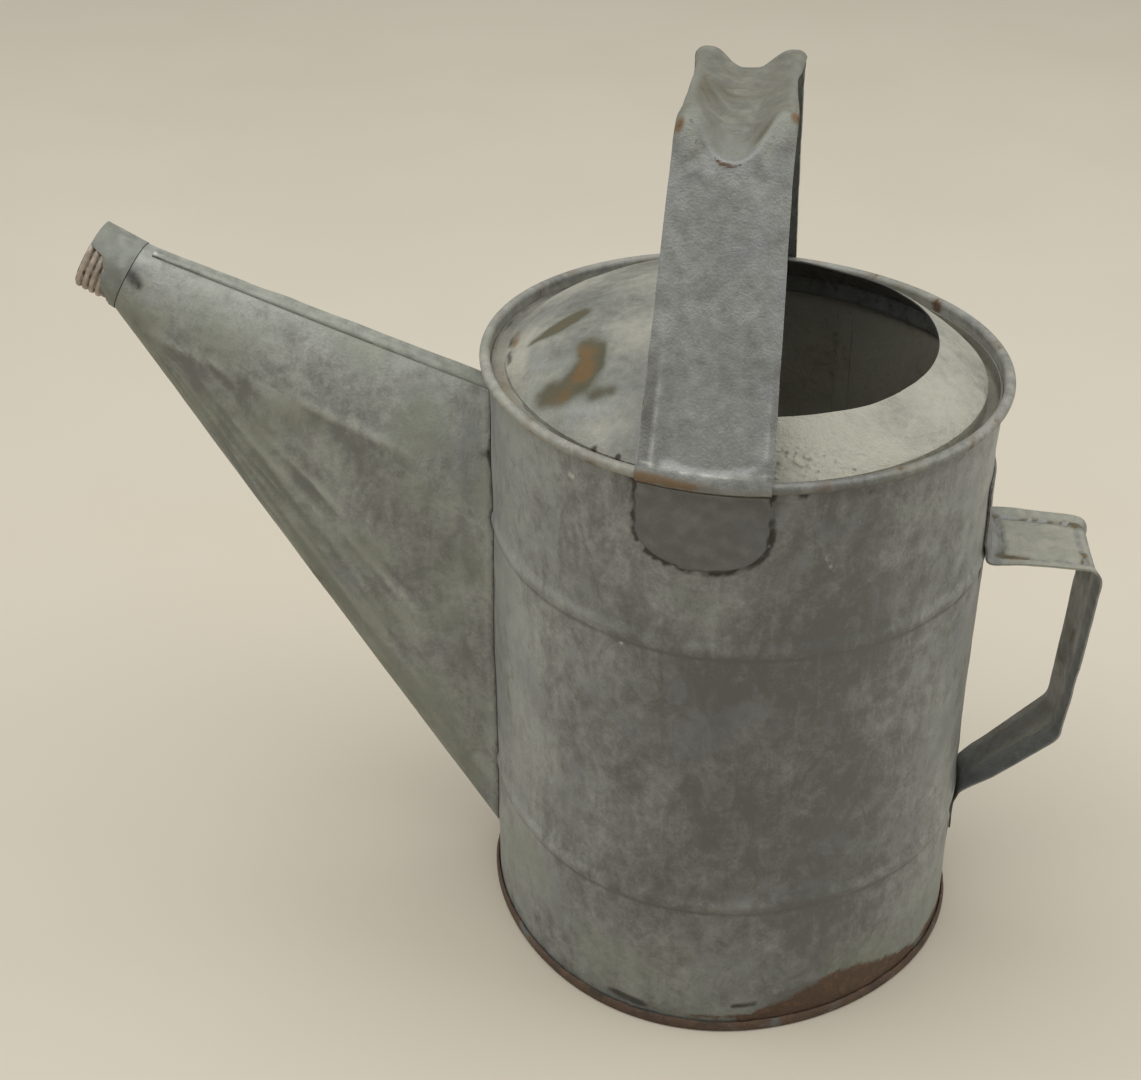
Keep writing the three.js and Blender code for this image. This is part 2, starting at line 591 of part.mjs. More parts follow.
/** Rear handle: tab up the wall, shelf, grip, slanting leg and lower tab, with raised edges. */
function rearHandle() {
  const overSwage = TAB_RADIUS + SWAGE_RISE;
  const swageTop = SWAGE_HEIGHTS[1] + SWAGE_WIDTH / 2;
  const shelfFoot = REAR_SHELF.height + REAR_FOOT_ROUND / 2;
  const corner = ({ reach, height, width }, round) => ({ a: reach, z: height, width, round });
  const stations = roundedPath([
    { a: TAB_RADIUS, z: REAR_TAB_TOP, width: REAR_TAB_WIDTH - 2 * REAR_FOOT_ROUND },
    { a: TAB_RADIUS, z: REAR_TAB_TOP - REAR_FOOT_ROUND, width: REAR_TAB_WIDTH },
    { a: TAB_RADIUS, z: swageTop + 2 * SWAGE_RISE, width: REAR_TAB_WIDTH },
    { a: overSwage, z: swageTop, width: REAR_TAB_WIDTH },
    { a: overSwage, z: shelfFoot, width: REAR_TAB_WIDTH, round: REAR_FOOT_ROUND },
    {
      a: lerp(overSwage, REAR_SHELF.reach, 0.5),
      z: lerp(shelfFoot, REAR_SHELF.height, 0.5),
      width: lerp(REAR_TAB_WIDTH, REAR_SHELF.width, 0.8),
    },
    corner(REAR_SHELF, REAR_SHELF_ROUND),
    {
      a: lerp(REAR_SHELF.reach, REAR_KNEE.reach, 0.45),
      z: lerp(REAR_SHELF.height, REAR_KNEE.height, 0.5),
      width: lerp(REAR_SHELF.width, REAR_KNEE.width, 0.35),
    },
    corner(REAR_KNEE, REAR_KNEE_ROUND),
    corner(REAR_LOWER_BEND, REAR_KNEE_ROUND),
    {
      a: lerp(REAR_LOWER_BEND.reach, TAB_RADIUS, 0.75),
      z: lerp(REAR_LOWER_BEND.height, REAR_LOWER_TAB.top, 0.5),
      width: lerp(REAR_LOWER_BEND.width, REAR_LOWER_TAB.width, 0.5),
    },
    { a: TAB_RADIUS, z: REAR_LOWER_TAB.top, width: REAR_LOWER_TAB.width },
    { a: TAB_RADIUS, z: REAR_LOWER_TAB.bottom, width: REAR_LOWER_TAB.width },
  ], 3);
  const columns = [-1, -0.84, -0.68, 0, 0.68, 0.84, 1];
  const grid = stations.map((s, i) => {
    const before = stations[Math.max(i - 1, 0)];
    const after = stations[Math.min(i + 1, stations.length - 1)];
    const tangent = new THREE.Vector2(after.a - before.a, after.z - before.z).normalize();
    const off = smoothstep(s.a, TAB_RADIUS, TAB_RADIUS + REAR_WRAP_FADE);
    return columns.map((u) => {
      const y = u * s.width / 2;
      const edge = Math.max(Math.abs(y) - (s.width / 2 - REAR_EDGE_WIDTH), 0) / REAR_EDGE_WIDTH;
      const rise = REAR_EDGE_RISE * edge * off;
      const sag = (TAB_RADIUS - Math.sqrt(TAB_RADIUS ** 2 - y ** 2)) * (1 - off);
      const skew = REAR_SKEW * u * off;
      return new THREE.Vector3(s.a - sag - skew - tangent.y * rise, y, s.z + tangent.x * rise);
    });
  });
  return thicken(grid, STRAP_SHEET);
}

/** Moves the points of a geometry in or out from the axis, as the knocks of years have moved the sheet. */
function knockOutOfRound(geometry) {
  const position = geometry.getAttribute('position');
  const waves = (list, angle) => list.reduce(
    (sum, [count, size, peak]) => sum + size * Math.cos(count * (angle - rad(peak))), 0);
  for (let i = 0; i < position.count; i++) {
    const [x, y, z] = [position.getX(i), position.getY(i), position.getZ(i)];
    const radius = Math.hypot(x, y);
    if (radius === 0) continue;
    const angle = Math.atan2(y, x);
    const share = THREE.MathUtils.clamp(z / BODY_HEIGHT, 0, 1);
    const near = smoothstep(radius, ...DENT_INNER_FADE) * (1 - smoothstep(radius, ...DENT_OUTER_FADE));
    const shift = near * lerp(waves(BASE_OUT_OF_ROUND, angle), waves(RIM_OUT_OF_ROUND, angle), share);
    position.setXY(i, x * (1 + shift / radius), y * (1 + shift / radius));
  }
  return geometry;
}

function sheetMaterial(color, roughness, metalness) {
  return new THREE.MeshStandardMaterial({ color, roughness, metalness, flatShading: true });
}

const galvanised = sheetMaterial(0x7d817c, 0.6, 0.55);
const dustyGalvanised = sheetMaterial(0xa3a294, 0.75, 0.35);
const tarnishedBrass = sheetMaterial(0x7f7267, 0.65, 0.5);
const steelWire = sheetMaterial(0x5f5a53, 0.6, 0.6);

const can = new THREE.Group();
can.name = 'watering_can';

function addPiece(name, geometry, material) {
  const mesh = new THREE.Mesh(knockOutOfRound(geometry), material);
  mesh.name = name;
  can.add(mesh);
}

addPiece('body_shell', bodyShell(), galvanised);
addPiece('rim_wire', rimWire(), steelWire);
addPiece('bottom_plate', bottomPlate(), galvanised);
addPiece('breast', breast(), dustyGalvanised);
addPiece('spout_shell', spoutShell(), galvanised);
addPiece('spout_collar', spoutCollar(), galvanised);
addPiece('nozzle_ring', nozzleRing(), tarnishedBrass);
addPiece('top_handle', topHandle(), galvanised);
addPiece('rear_handle', rearHandle(), galvanised);

export default can;
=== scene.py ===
"""Weathered galvanised watering can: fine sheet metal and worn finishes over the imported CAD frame.

Sizes are millimetres, as on a drawing; a mesh is turned into metres when its object is made. The spout
points along -X, the rear handle along +X, and the top handle crosses the can along Y.
"""

import logging
import math
from collections.abc import Sequence
from dataclasses import dataclass, field
from enum import Enum

import bmesh
import bpy
import numpy as np
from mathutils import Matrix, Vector


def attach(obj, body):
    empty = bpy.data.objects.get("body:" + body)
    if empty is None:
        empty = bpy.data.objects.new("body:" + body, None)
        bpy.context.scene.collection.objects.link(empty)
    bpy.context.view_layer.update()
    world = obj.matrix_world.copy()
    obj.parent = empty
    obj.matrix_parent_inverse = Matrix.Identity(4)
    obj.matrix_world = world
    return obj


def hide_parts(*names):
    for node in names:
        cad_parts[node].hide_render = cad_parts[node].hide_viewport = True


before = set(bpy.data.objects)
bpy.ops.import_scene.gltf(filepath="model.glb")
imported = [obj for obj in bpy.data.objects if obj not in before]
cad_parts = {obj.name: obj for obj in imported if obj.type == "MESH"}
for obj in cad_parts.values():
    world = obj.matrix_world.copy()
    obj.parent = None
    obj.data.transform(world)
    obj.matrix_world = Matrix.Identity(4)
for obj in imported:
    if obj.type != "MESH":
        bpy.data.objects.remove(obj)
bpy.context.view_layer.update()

LOG = logging.getLogger("watering_can")
MILLIMETRE = 0.001

Array = np.ndarray
Pair = tuple[float, float]
Rgb = tuple[float, float, float]
Point = tuple[float, float, float]


class Mark(str, Enum):
    """What a finish may find painted on the points of a mesh: dirt, rust, wear and stains, and also painted
    light and shade.
    """

    RUST = "rust"
    # Dirt, and also painted shade in creases, under the rim bead and round the top handle's tab.
    GRIME_AND_SHADE = "grime"
    # Rubbed bare metal, and also painted highlights and glints on ridges, creases and the rims of dents.
    WEAR_AND_HIGHLIGHT = "wear"
    # Dust, and also painted light on faces that turn up, such as the spout's roof.
    DUST_AND_LIGHT = "dust"
    STAIN = "stain"
    # Patina lighter or darker at random, and also painted light and shade: highlights, shaded sides and the
    # dark reflection across the wall's front.
    LIGHT_AND_TONE = "tone"
    GREEN = "green"
    OCHRE = "ochre"
    # Painted shade: a plain darkening with no noise, in hollows, on shaded sides and in the wall's dark
    # reflection, and a plain darker colour on some parts.
    SHADE = "shade"


class Slot(str, Enum):
    """Names of material slots."""

    GALVANISED = "galvanised"
    DUSTY = "dusty_galvanised"
    WIRE = "wire"
    BRASS = "tarnished_brass"


# Plain maths


def lerp(start: Array | float, end: Array | float, share: Array | float) -> Array | float:
    """A value between two others at a share of the way."""
    return start + (end - start) * share


def ramp(value: Array | float, low: float, high: float) -> Array | float:
    """A smooth step from 0 at low to 1 at high."""
    share = np.clip((value - low) / (high - low), 0.0, 1.0)
    return share * share * (3.0 - 2.0 * share)


def hump(value: Array | float, middle: float, width: float) -> Array | float:
    """A smooth hump, 1 at its middle and low beyond its width."""
    return np.exp(-(((value - middle) / width) ** 2))


def bend_at(start: Array, pull: Array, end: Array, share: float) -> Array:
    """A point of the soft bend from start to end that is drawn towards a third point."""
    return (1 - share) ** 2 * start + 2 * share * (1 - share) * pull + share**2 * end


def arc(centre: Pair, radius: float, angles: Sequence[float]) -> list[Pair]:
    """Points of an arc.

    Args:
        centre: The middle of the arc.
        radius: Its radius.
        angles: Angles in degrees.

    Returns:
        The points as pairs.
    """
    turns = [math.radians(angle) for angle in angles]
    return [(centre[0] + radius * math.cos(turn), centre[1] + radius * math.sin(turn)) for turn in turns]


def even_steps(start: float, end: float, count: int) -> list[float]:
    """Evenly spaced numbers from start to end."""
    return [float(number) for number in np.linspace(start, end, count)]


def resample(path: Array, step: float) -> Array:
    """Sets points evenly along a path.

    Args:
        path: Rows of values, with the position in the first two columns.
        step: The spacing that is wanted.

    Returns:
        Rows like those of the path, close to one step apart.
    """
    lengths = np.hypot(*np.diff(path[:, :2], axis=0).T)
    along = np.concatenate([[0.0], np.cumsum(lengths)])
    places = np.linspace(0.0, along[-1], int(round(along[-1] / step)) + 1)
    return np.stack([np.interp(places, along, column) for column in path.T], axis=1)


def relax(path: Array, passes: int) -> Array:
    """Softens a path by averaging each row with its neighbours; its ends stay.

    Args:
        path: Rows of values.
        passes: How many times it is done.

    Returns:
        The softened rows.
    """
    soft = path.copy()
    for _ in range(passes):
        soft[1:-1] = soft[1:-1] * 0.5 + (soft[:-2] + soft[2:]) * 0.25
    return soft


def grid_normals(grid: Array) -> Array:
    """The unit normals of a grid of points, rows first.

    Args:
        grid: The points.

    Returns:
        One normal a point.
    """
    along = np.gradient(grid, axis=0)
    across = np.gradient(grid, axis=1)
    normals = np.cross(along, across)
    return normals / np.maximum(np.linalg.norm(normals, axis=-1, keepdims=True), 1e-9)


def tangents(path: Array) -> Array:
    """The unit directions along a path whose position is in the first two columns."""
    along = np.gradient(path[:, :2], axis=0)
    return along / np.linalg.norm(along, axis=1, keepdims=True)


def revolve(radius: Array | float, height: Array, turns: Array) -> Array:
    """A grid of points round the axis, from radii, heights and angles in radians."""
    sides = (radius * np.cos(turns), radius * np.sin(turns), height)
    return np.stack(np.broadcast_arrays(*sides), axis=-1)


def both_faces(values: Array, columns: int) -> Array:
    """Values of a grid's rows, for all points of its two faces."""
    return np.tile(np.repeat(values, columns), 2)


def near_side(points: Array) -> Array:
    """Points brought over to the -Y side of the can."""
    return points * np.array([1.0, 0.0, 1.0]) - np.abs(points) * np.array([0.0, 1.0, 0.0])


@dataclass(frozen=True)
class SoftNoise:
    """Smooth noise about zero, made of plane waves from a fixed seed."""

    seed: int
    size: float
    waves: int = 22

    def at(self, points: Array) -> Array:
        """The noise at some points, mostly between -2 and 2.

        Args:
            points: The points, in the last axis.

        Returns:
            One number a point.
        """
        random = np.random.default_rng(self.seed)
        direction = random.normal(size=(self.waves, 3))
        direction /= np.linalg.norm(direction, axis=1, keepdims=True)
        pace = 2.0 * np.pi / self.size * random.uniform(0.6, 1.6, self.waves)
        start = random.uniform(0.0, 2.0 * np.pi, self.waves)
        phase = points @ (direction * pace[:, None]).T + start
        return np.cos(phase).sum(axis=-1) * math.sqrt(2.0 / self.waves)


@dataclass(frozen=True)
class Trail:
    """A soft line through some points: a stain, a scratch or a dent, or a spot if it has one point."""

    path: tuple[Point, ...]
    width: float
    strength: float = 1.0

    def at(self, points: Array) -> Array:
        """How strong the trail is at some points."""
        return self.strength * np.exp(-0.5 * (self.distance(points) / self.width) ** 2)

    def distance(self, points: Array) -> Array:
        """The distance from some points to the line.

        Args:
            points: The points.

        Returns:
            One distance a point.
        """
        path = np.array(self.path, float)
        if len(path) == 1:
            return np.linalg.norm(points - path[0], axis=-1)
        nearest = np.full(points.shape[:-1], 1e9)
        for start, end in zip(path[:-1], path[1:]):
            run = end - start
            share = np.clip((points - start) @ run / max(float(run @ run), 1e-9), 0.0, 1.0)
            gap = np.linalg.norm(points - start - share[..., None] * run, axis=-1)
            nearest = np.minimum(nearest, gap)
        return nearest


def trails(points: Array, lines: Sequence[Trail]) -> Array:
    """The sum of some trails at some points.

    Args:
        points: The points.
        lines: The trails.

    Returns:
        One number a point.
    """
    total = np.zeros(points.shape[:-1])
    for line in lines:
        total += line.at(points)
    return total


def on_wall(angle: float, height: float, radius: float = 108.0) -> Point:
    """A point of the wall at an angle in degrees from +X and a height."""
    turn = math.radians(angle)
    return (radius * math.cos(turn), radius * math.sin(turn), height)


def foot_line(out: Array) -> Array:
    """Points at the foot of the dome in some directions in plan."""
    return np.concatenate([out * 103.0, np.full((len(out), 1), 270.0)], axis=1)


def on_dome(x: float, y: float) -> Point:
    """A point of the dome above a place in plan."""
    radius = math.hypot(x, y)
    return (x, y, 275.5 + 31.0 * (1.0 - (radius / 101.0) ** 3))


def wall_line(places: Sequence[Pair], width: float, strength: float) -> Trail:
    """A trail on the wall, through places given as (angle in degrees, height)."""
    return Trail(tuple(on_wall(angle, height) for angle, height in places), width, strength)


def dome_line(places: Sequence[Pair], width: float, strength: float) -> Trail:
    """A trail on the dome, through places in plan."""
    return Trail(tuple(on_dome(x, y) for x, y in places), width, strength)


# Meshes


@dataclass
class Skin:
    """Points, faces and marks of a closed piece of sheet."""

    points: Array
    faces: list[tuple[int, ...]]
    marks: dict[Mark, Array] = field(default_factory=dict)

    @staticmethod
    def between(outer: Array, inner: Array, wrap: bool) -> "Skin":
        """Closes the room between two grids.

        Args:
            outer: Points of the outer face, rows by columns.
            inner: Points of the inner face, as many.
            wrap: Whether the last column joins the first.

        Returns:
            The closed skin, with the outer face's points first.
        """
        rows, columns = outer.shape[:2]
        number = np.arange(rows * columns).reshape(rows, columns)
        if wrap:
            number = np.concatenate([number, number[:, :1]], axis=1)
        under = number + rows * columns
        a, b, c, d = number[:-1, :-1], number[:-1, 1:], number[1:, 1:], number[1:, :-1]
        quads = [np.stack([a, b, c, d], axis=-1).reshape(-1, 4)]
        quads.append(np.stack([a, d, c, b], axis=-1).reshape(-1, 4) + rows * columns)
        borders = [(number[0], under[0], False), (number[-1], under[-1], True)]
        if not wrap:
            borders += [(number[:, 0], under[:, 0], True), (number[:, -1], under[:, -1], False)]
        for low, high, turned in borders:
            edge = np.stack([low[:-1], high[:-1], high[1:], low[1:]], axis=-1)
            quads.append(edge[:, ::-1] if turned else edge)
        points = np.concatenate([outer.reshape(-1, 3), inner.reshape(-1, 3)])
        return Skin(points, [tuple(quad) for quad in np.concatenate(quads).tolist()])

    @staticmethod
    def ring(grid: Array) -> "Skin":
        """A closed skin from a grid whose rows and columns both close on themselves.

        Args:
            grid: The points, rows by columns.

        Returns:
            The skin.
        """
        rows, columns = grid.shape[:2]
        number = np.arange(rows * columns).reshape(rows, columns)
        right = np.roll(number, -1, axis=1)
        up = np.roll(number, -1, axis=0)
        corner = np.roll(right, -1, axis=0)
        quads = np.stack([number, right, corner, up], axis=-1).reshape(-1, 4)
        return Skin(grid.reshape(-1, 3), [tuple(quad) for quad in quads.tolist()])

    def with_skin(self, other: "Skin") -> "Skin":
        """This skin and another in one.

        Args:
            other: The skin to add, with the same marks.

        Returns:
            The joined skin.
        """
        shift = len(self.points)
        faces = self.faces + [tuple(corner + shift for corner in face) for face in other.faces]
        marks = {mark: np.concatenate([self.marks[mark], other.marks[mark]]) for mark in self.marks}
        return Skin(np.concatenate([self.points, other.points]), faces, marks)

    def mark(self, **values: Array | float) -> None:
        """Adds to the marks of the points, by the marks' names in capitals.

        Args:
            **values: What to add, one number a point or one for all.
        """
        for mark in Mark:
            self.marks.setdefault(mark, np.zeros(len(self.points)))
        for name, value in values.items():
            self.marks[Mark[name]] = self.marks[Mark[name]] + value

    def first(self, count: int) -> Array:
        """1 for the skin's first points, as many as given, and 0 for the rest."""
        return (np.arange(len(self.points)) < count).astype(float)

    def make(self, name: str, material: bpy.types.Material, sharp: float = 40.0) -> bpy.types.Object:
        """Makes the object of the skin.

        Args:
            name: The piece's name.
            material: Its finish.
            sharp: The angle in degrees from which an edge stays sharp.

        Returns:
            The new object, in the scene.
        """
        mesh = bpy.data.meshes.new(name)
        mesh.from_pydata((self.points * MILLIMETRE).tolist(), [], self.faces)
        for mark, values in self.marks.items():
            layer = mesh.attributes.new(mark.value, "FLOAT", "POINT")
            layer.data.foreach_set("value", values.astype(np.float32))
        work = bmesh.new()
        work.from_mesh(mesh)
        bmesh.ops.remove_doubles(work, verts=work.verts, dist=1e-7)
        bmesh.ops.recalc_face_normals(work, faces=work.faces)
        work.to_mesh(mesh)
        work.free()
        mesh.shade_smooth()
        mesh.set_sharp_from_angle(angle=math.radians(sharp))
        mesh.materials.append(material)
        piece = bpy.data.objects.new(name, mesh)
        bpy.context.scene.collection.objects.link(piece)
        return piece


def cut_away(piece: bpy.types.Object, cutter: bpy.types.Object) -> None:
    """Cuts one closed mesh out of another and drops the cutter.

    Args:
        piece: The mesh to cut.
        cutter: The mesh that is cut out of it.
    """
    modifier = piece.modifiers.new("cut", "BOOLEAN")
    modifier.operation = "DIFFERENCE"
    modifier.solver = "MANIFOLD"
    modifier.object = cutter
    bpy.context.view_layer.update()
    graph = bpy.context.evaluated_depsgraph_get()
    mesh = bpy.data.meshes.new_from_object(piece.evaluated_get(graph))
    old = piece.data
    piece.modifiers.clear()
    piece.data = mesh
    mesh.name = old.name
    bpy.data.meshes.remove(old)
    bpy.data.objects.remove(cutter)


@dataclass(frozen=True)
class Knocks:
    """How the knocks of years have moved the sheet in and out, the same for all pieces.

    The waves are [how many round the can, size, angle of the peak in degrees], as in the CAD.
    """

    rim: tuple[Point, ...] = ((1, 1.0, 148), (2, 2.4, -45), (3, 1.05, 22))
    base: tuple[Point, ...] = ((3, 1.3, 31), (4, 0.9, -14))
    height: float = 280.0
    wide: SoftNoise = SoftNoise(11, 95.0)
    fine: SoftNoise = SoftNoise(12, 30.0)
    wide_size: float = 0.28
    fine_size: float = 0.1

    def waves(self, angle: Array, waves: Sequence[Point]) -> Array:
        """The sum of some waves at some angles in radians."""
        return sum(size * np.cos(count * (angle - math.radians(peak))) for count, size, peak in waves)

    def move(self, points: Array) -> Array:
        """Moves points in or out from the axis of the can.

        Args:
            points: The points, in the last axis.

        Returns:
            The moved points.
        """
        radius = np.hypot(points[..., 0], points[..., 1])
        angle = np.arctan2(points[..., 1], points[..., 0])
        near = ramp(radius, 60.0, 96.0) * (1.0 - ramp(radius, 114.0, 150.0))
        share = np.clip(points[..., 2] / self.height, 0.0, 1.0)
        shift = near * lerp(self.waves(angle, self.base), self.waves(angle, self.rim), share)
        wall = near * ramp(points[..., 2], 4.0, 30.0) * (1.0 - ramp(points[..., 2], 250.0, 272.0))
        flat = points * np.array([0.0, 0.0, 1.0])
        flat[..., 0] = 108.0 * np.cos(angle)
        flat[..., 1] = 108.0 * np.sin(angle)
        shift = shift + wall * (self.wide_size * self.wide.at(flat) + self.fine_size * self.fine.at(flat))
        scale = 1.0 + shift / np.maximum(radius, 1e-6)
        moved = points.copy()
        moved[..., 0] *= scale
        moved[..., 1] *= scale
        return moved


KNOCKS = Knocks()


# Shader graphs


class Value:
    """A number in a shader graph, with the arithmetic that the finishes use."""

    def __init__(self, graph: "Graph", socket: bpy.types.NodeSocket) -> None:
        """Wraps a socket that carries a number."""
        self.graph = graph
        self.socket = socket

    def _math(self, operation: str, first: "Value | float", second: "Value | float") -> "Value":
        """Adds a Math node and returns its result."""
        node = self.graph.node("ShaderNodeMath", {"operation": operation}, {0: first, 1: second})
        return Value(self.graph, node.outputs[0])

    def __add__(self, other: "Value | float") -> "Value":
        """The sum of two values."""
        return self._math("ADD", self, other)

    def __radd__(self, other: float) -> "Value":
        """A number plus this value."""
        return self._math("ADD", other, self)

    def __sub__(self, other: "Value | float") -> "Value":
        """This value less another."""
        return self._math("SUBTRACT", self, other)

    def __rsub__(self, other: float) -> "Value":
        """A number less this value."""
        return self._math("SUBTRACT", other, self)

    def __mul__(self, other: "Value | float") -> "Value":
        """The product of two values."""
        return self._math("MULTIPLY", self, other)

    def __rmul__(self, other: float) -> "Value":
        """A number times this value."""
        return self._math("MULTIPLY", other, self)

    def highest(self, other: "Value | float") -> "Value":
        """The larger of two values."""
        return self._math("MAXIMUM", self, other)

    def step(self, low: float, high: float) -> "Value":
        """A smooth step from 0 at low to 1 at high."""
        node = self.graph.node(
            "ShaderNodeMapRange",
            {"interpolation_type": "SMOOTHSTEP", "clamp": True},
            {"Value": self, "From Min": low, "From Max": high},
        )
        return Value(self.graph, node.outputs["Result"])


class Colour:
    """A colour in a shader graph."""

    def __init__(self, graph: "Graph", source: "bpy.types.NodeSocket | Rgb") -> None:
        """Wraps a colour socket, or a plain colour."""
        self.graph = graph
        self.source = source

    def toward(self, other: "Colour | Rgb", share: Value | float) -> "Colour":
        """Mixes another colour over this one.

        Args:
            other: The colour to mix in.
            share: How much of it, from 0 to 1.

        Returns:
            The mixed colour.
        """
        node = self.graph.node("ShaderNodeMix", {"data_type": "RGBA"}, {0: share, 6: self, 7: other})
        return Colour(self.graph, node.outputs[2])


class Graph:
    """The node graph of one material, or of the world."""

    def __init__(self, owner: "bpy.types.Material | bpy.types.World") -> None:
        """Empties the graph of a material or a world.

        Args:
            owner: The material or the world.
        """
        self.owner = owner
        owner.use_nodes = True
        self.tree = owner.node_tree
        self.tree.nodes.clear()

    @staticmethod
    def of_material(name: str) -> "Graph":
        """Starts a new material."""
        return Graph(bpy.data.materials.new(name))

    def node(self, kind: str, settings: dict[str, object], inputs: dict[int | str, object]) -> bpy.types.Node:
        """Adds a node.

        Args:
            kind: The node's type.
            settings: Its settings, set first.
            inputs: Values or links of its sockets, by name or number.

        Returns:
            The node.
        """
        node = self.tree.nodes.new(kind)
        for name, value in settings.items():
            setattr(node, name, value)
        for key, value in inputs.items():
            source = getattr(value, "socket", getattr(value, "source", value))
            if isinstance(source, bpy.types.NodeSocket):
                self.tree.links.new(source, node.inputs[key])
            elif isinstance(source, tuple) and len(node.inputs[key].default_value) == 4:
                node.inputs[key].default_value = (*source, 1.0)
            else:
                node.inputs[key].default_value = source
        return node

    def mark(self, mark: Mark) -> Value:
        """The strength of a mark on the mesh."""
        node = self.node("ShaderNodeAttribute", {"attribute_name": mark.value}, {})
        return Value(self, node.outputs["Fac"])

    def place(self, stretch: Point = (1.0, 1.0, 1.0)) -> bpy.types.NodeSocket:
        """The place on the object in metres, stretched along the axes.

        Args:
            stretch: The factors along X, Y and Z.

        Returns:
            The place's socket.
        """
        coordinates = self.node("ShaderNodeTexCoord", {}, {})
        if stretch == (1.0, 1.0, 1.0):
            return coordinates.outputs["Object"]
        scaled = self.node(
            "ShaderNodeVectorMath", {"operation": "MULTIPLY"}, {0: coordinates.outputs["Object"], 1: stretch}
        )
        return scaled.outputs[0]

    def noise(
        self, scale: float, detail: float = 4.0, stretch: Point = (1.0, 1.0, 1.0), warp: float = 0.0
    ) -> Value:
        """Fractal noise about zero.

        Args:
            scale: Features per metre.
            detail: How many finer layers it has.
            stretch: Stretch of the place along the axes.
            warp: How far the noise bends itself.

        Returns:
            The noise, from about -0.5 to 0.5.
        """
        inputs = {
            "Vector": self.place(stretch),
            "Scale": scale,
            "Detail": detail,
            "Roughness": 0.62,
            "Distortion": warp,
        }
        node = self.node("ShaderNodeTexNoise", {}, inputs)
        return Value(self, node.outputs["Fac"]) - 0.5

    def bump(self, height: Value, depth: float) -> bpy.types.NodeSocket:
        """A normal bent by a height.

        Args:
            height: The height, from 0 to 1.
            depth: What a height of 1 is in metres.

        Returns:
            The normal's socket.
        """
        node = self.node("ShaderNodeBump", {}, {"Strength": 1.0, "Distance": depth, "Height": height})
        return node.outputs["Normal"]

    def finish(self, inputs: dict[int | str, object]) -> bpy.types.Material:
        """Adds the surface shader and the output.

        Args:
            inputs: Values or links of the shader's sockets.

        Returns:
            The material.
        """
        shader = self.node("ShaderNodeBsdfPrincipled", {}, inputs)
        self.node("ShaderNodeOutputMaterial", {}, {"Surface": shader.outputs[0]})
        return self.owner


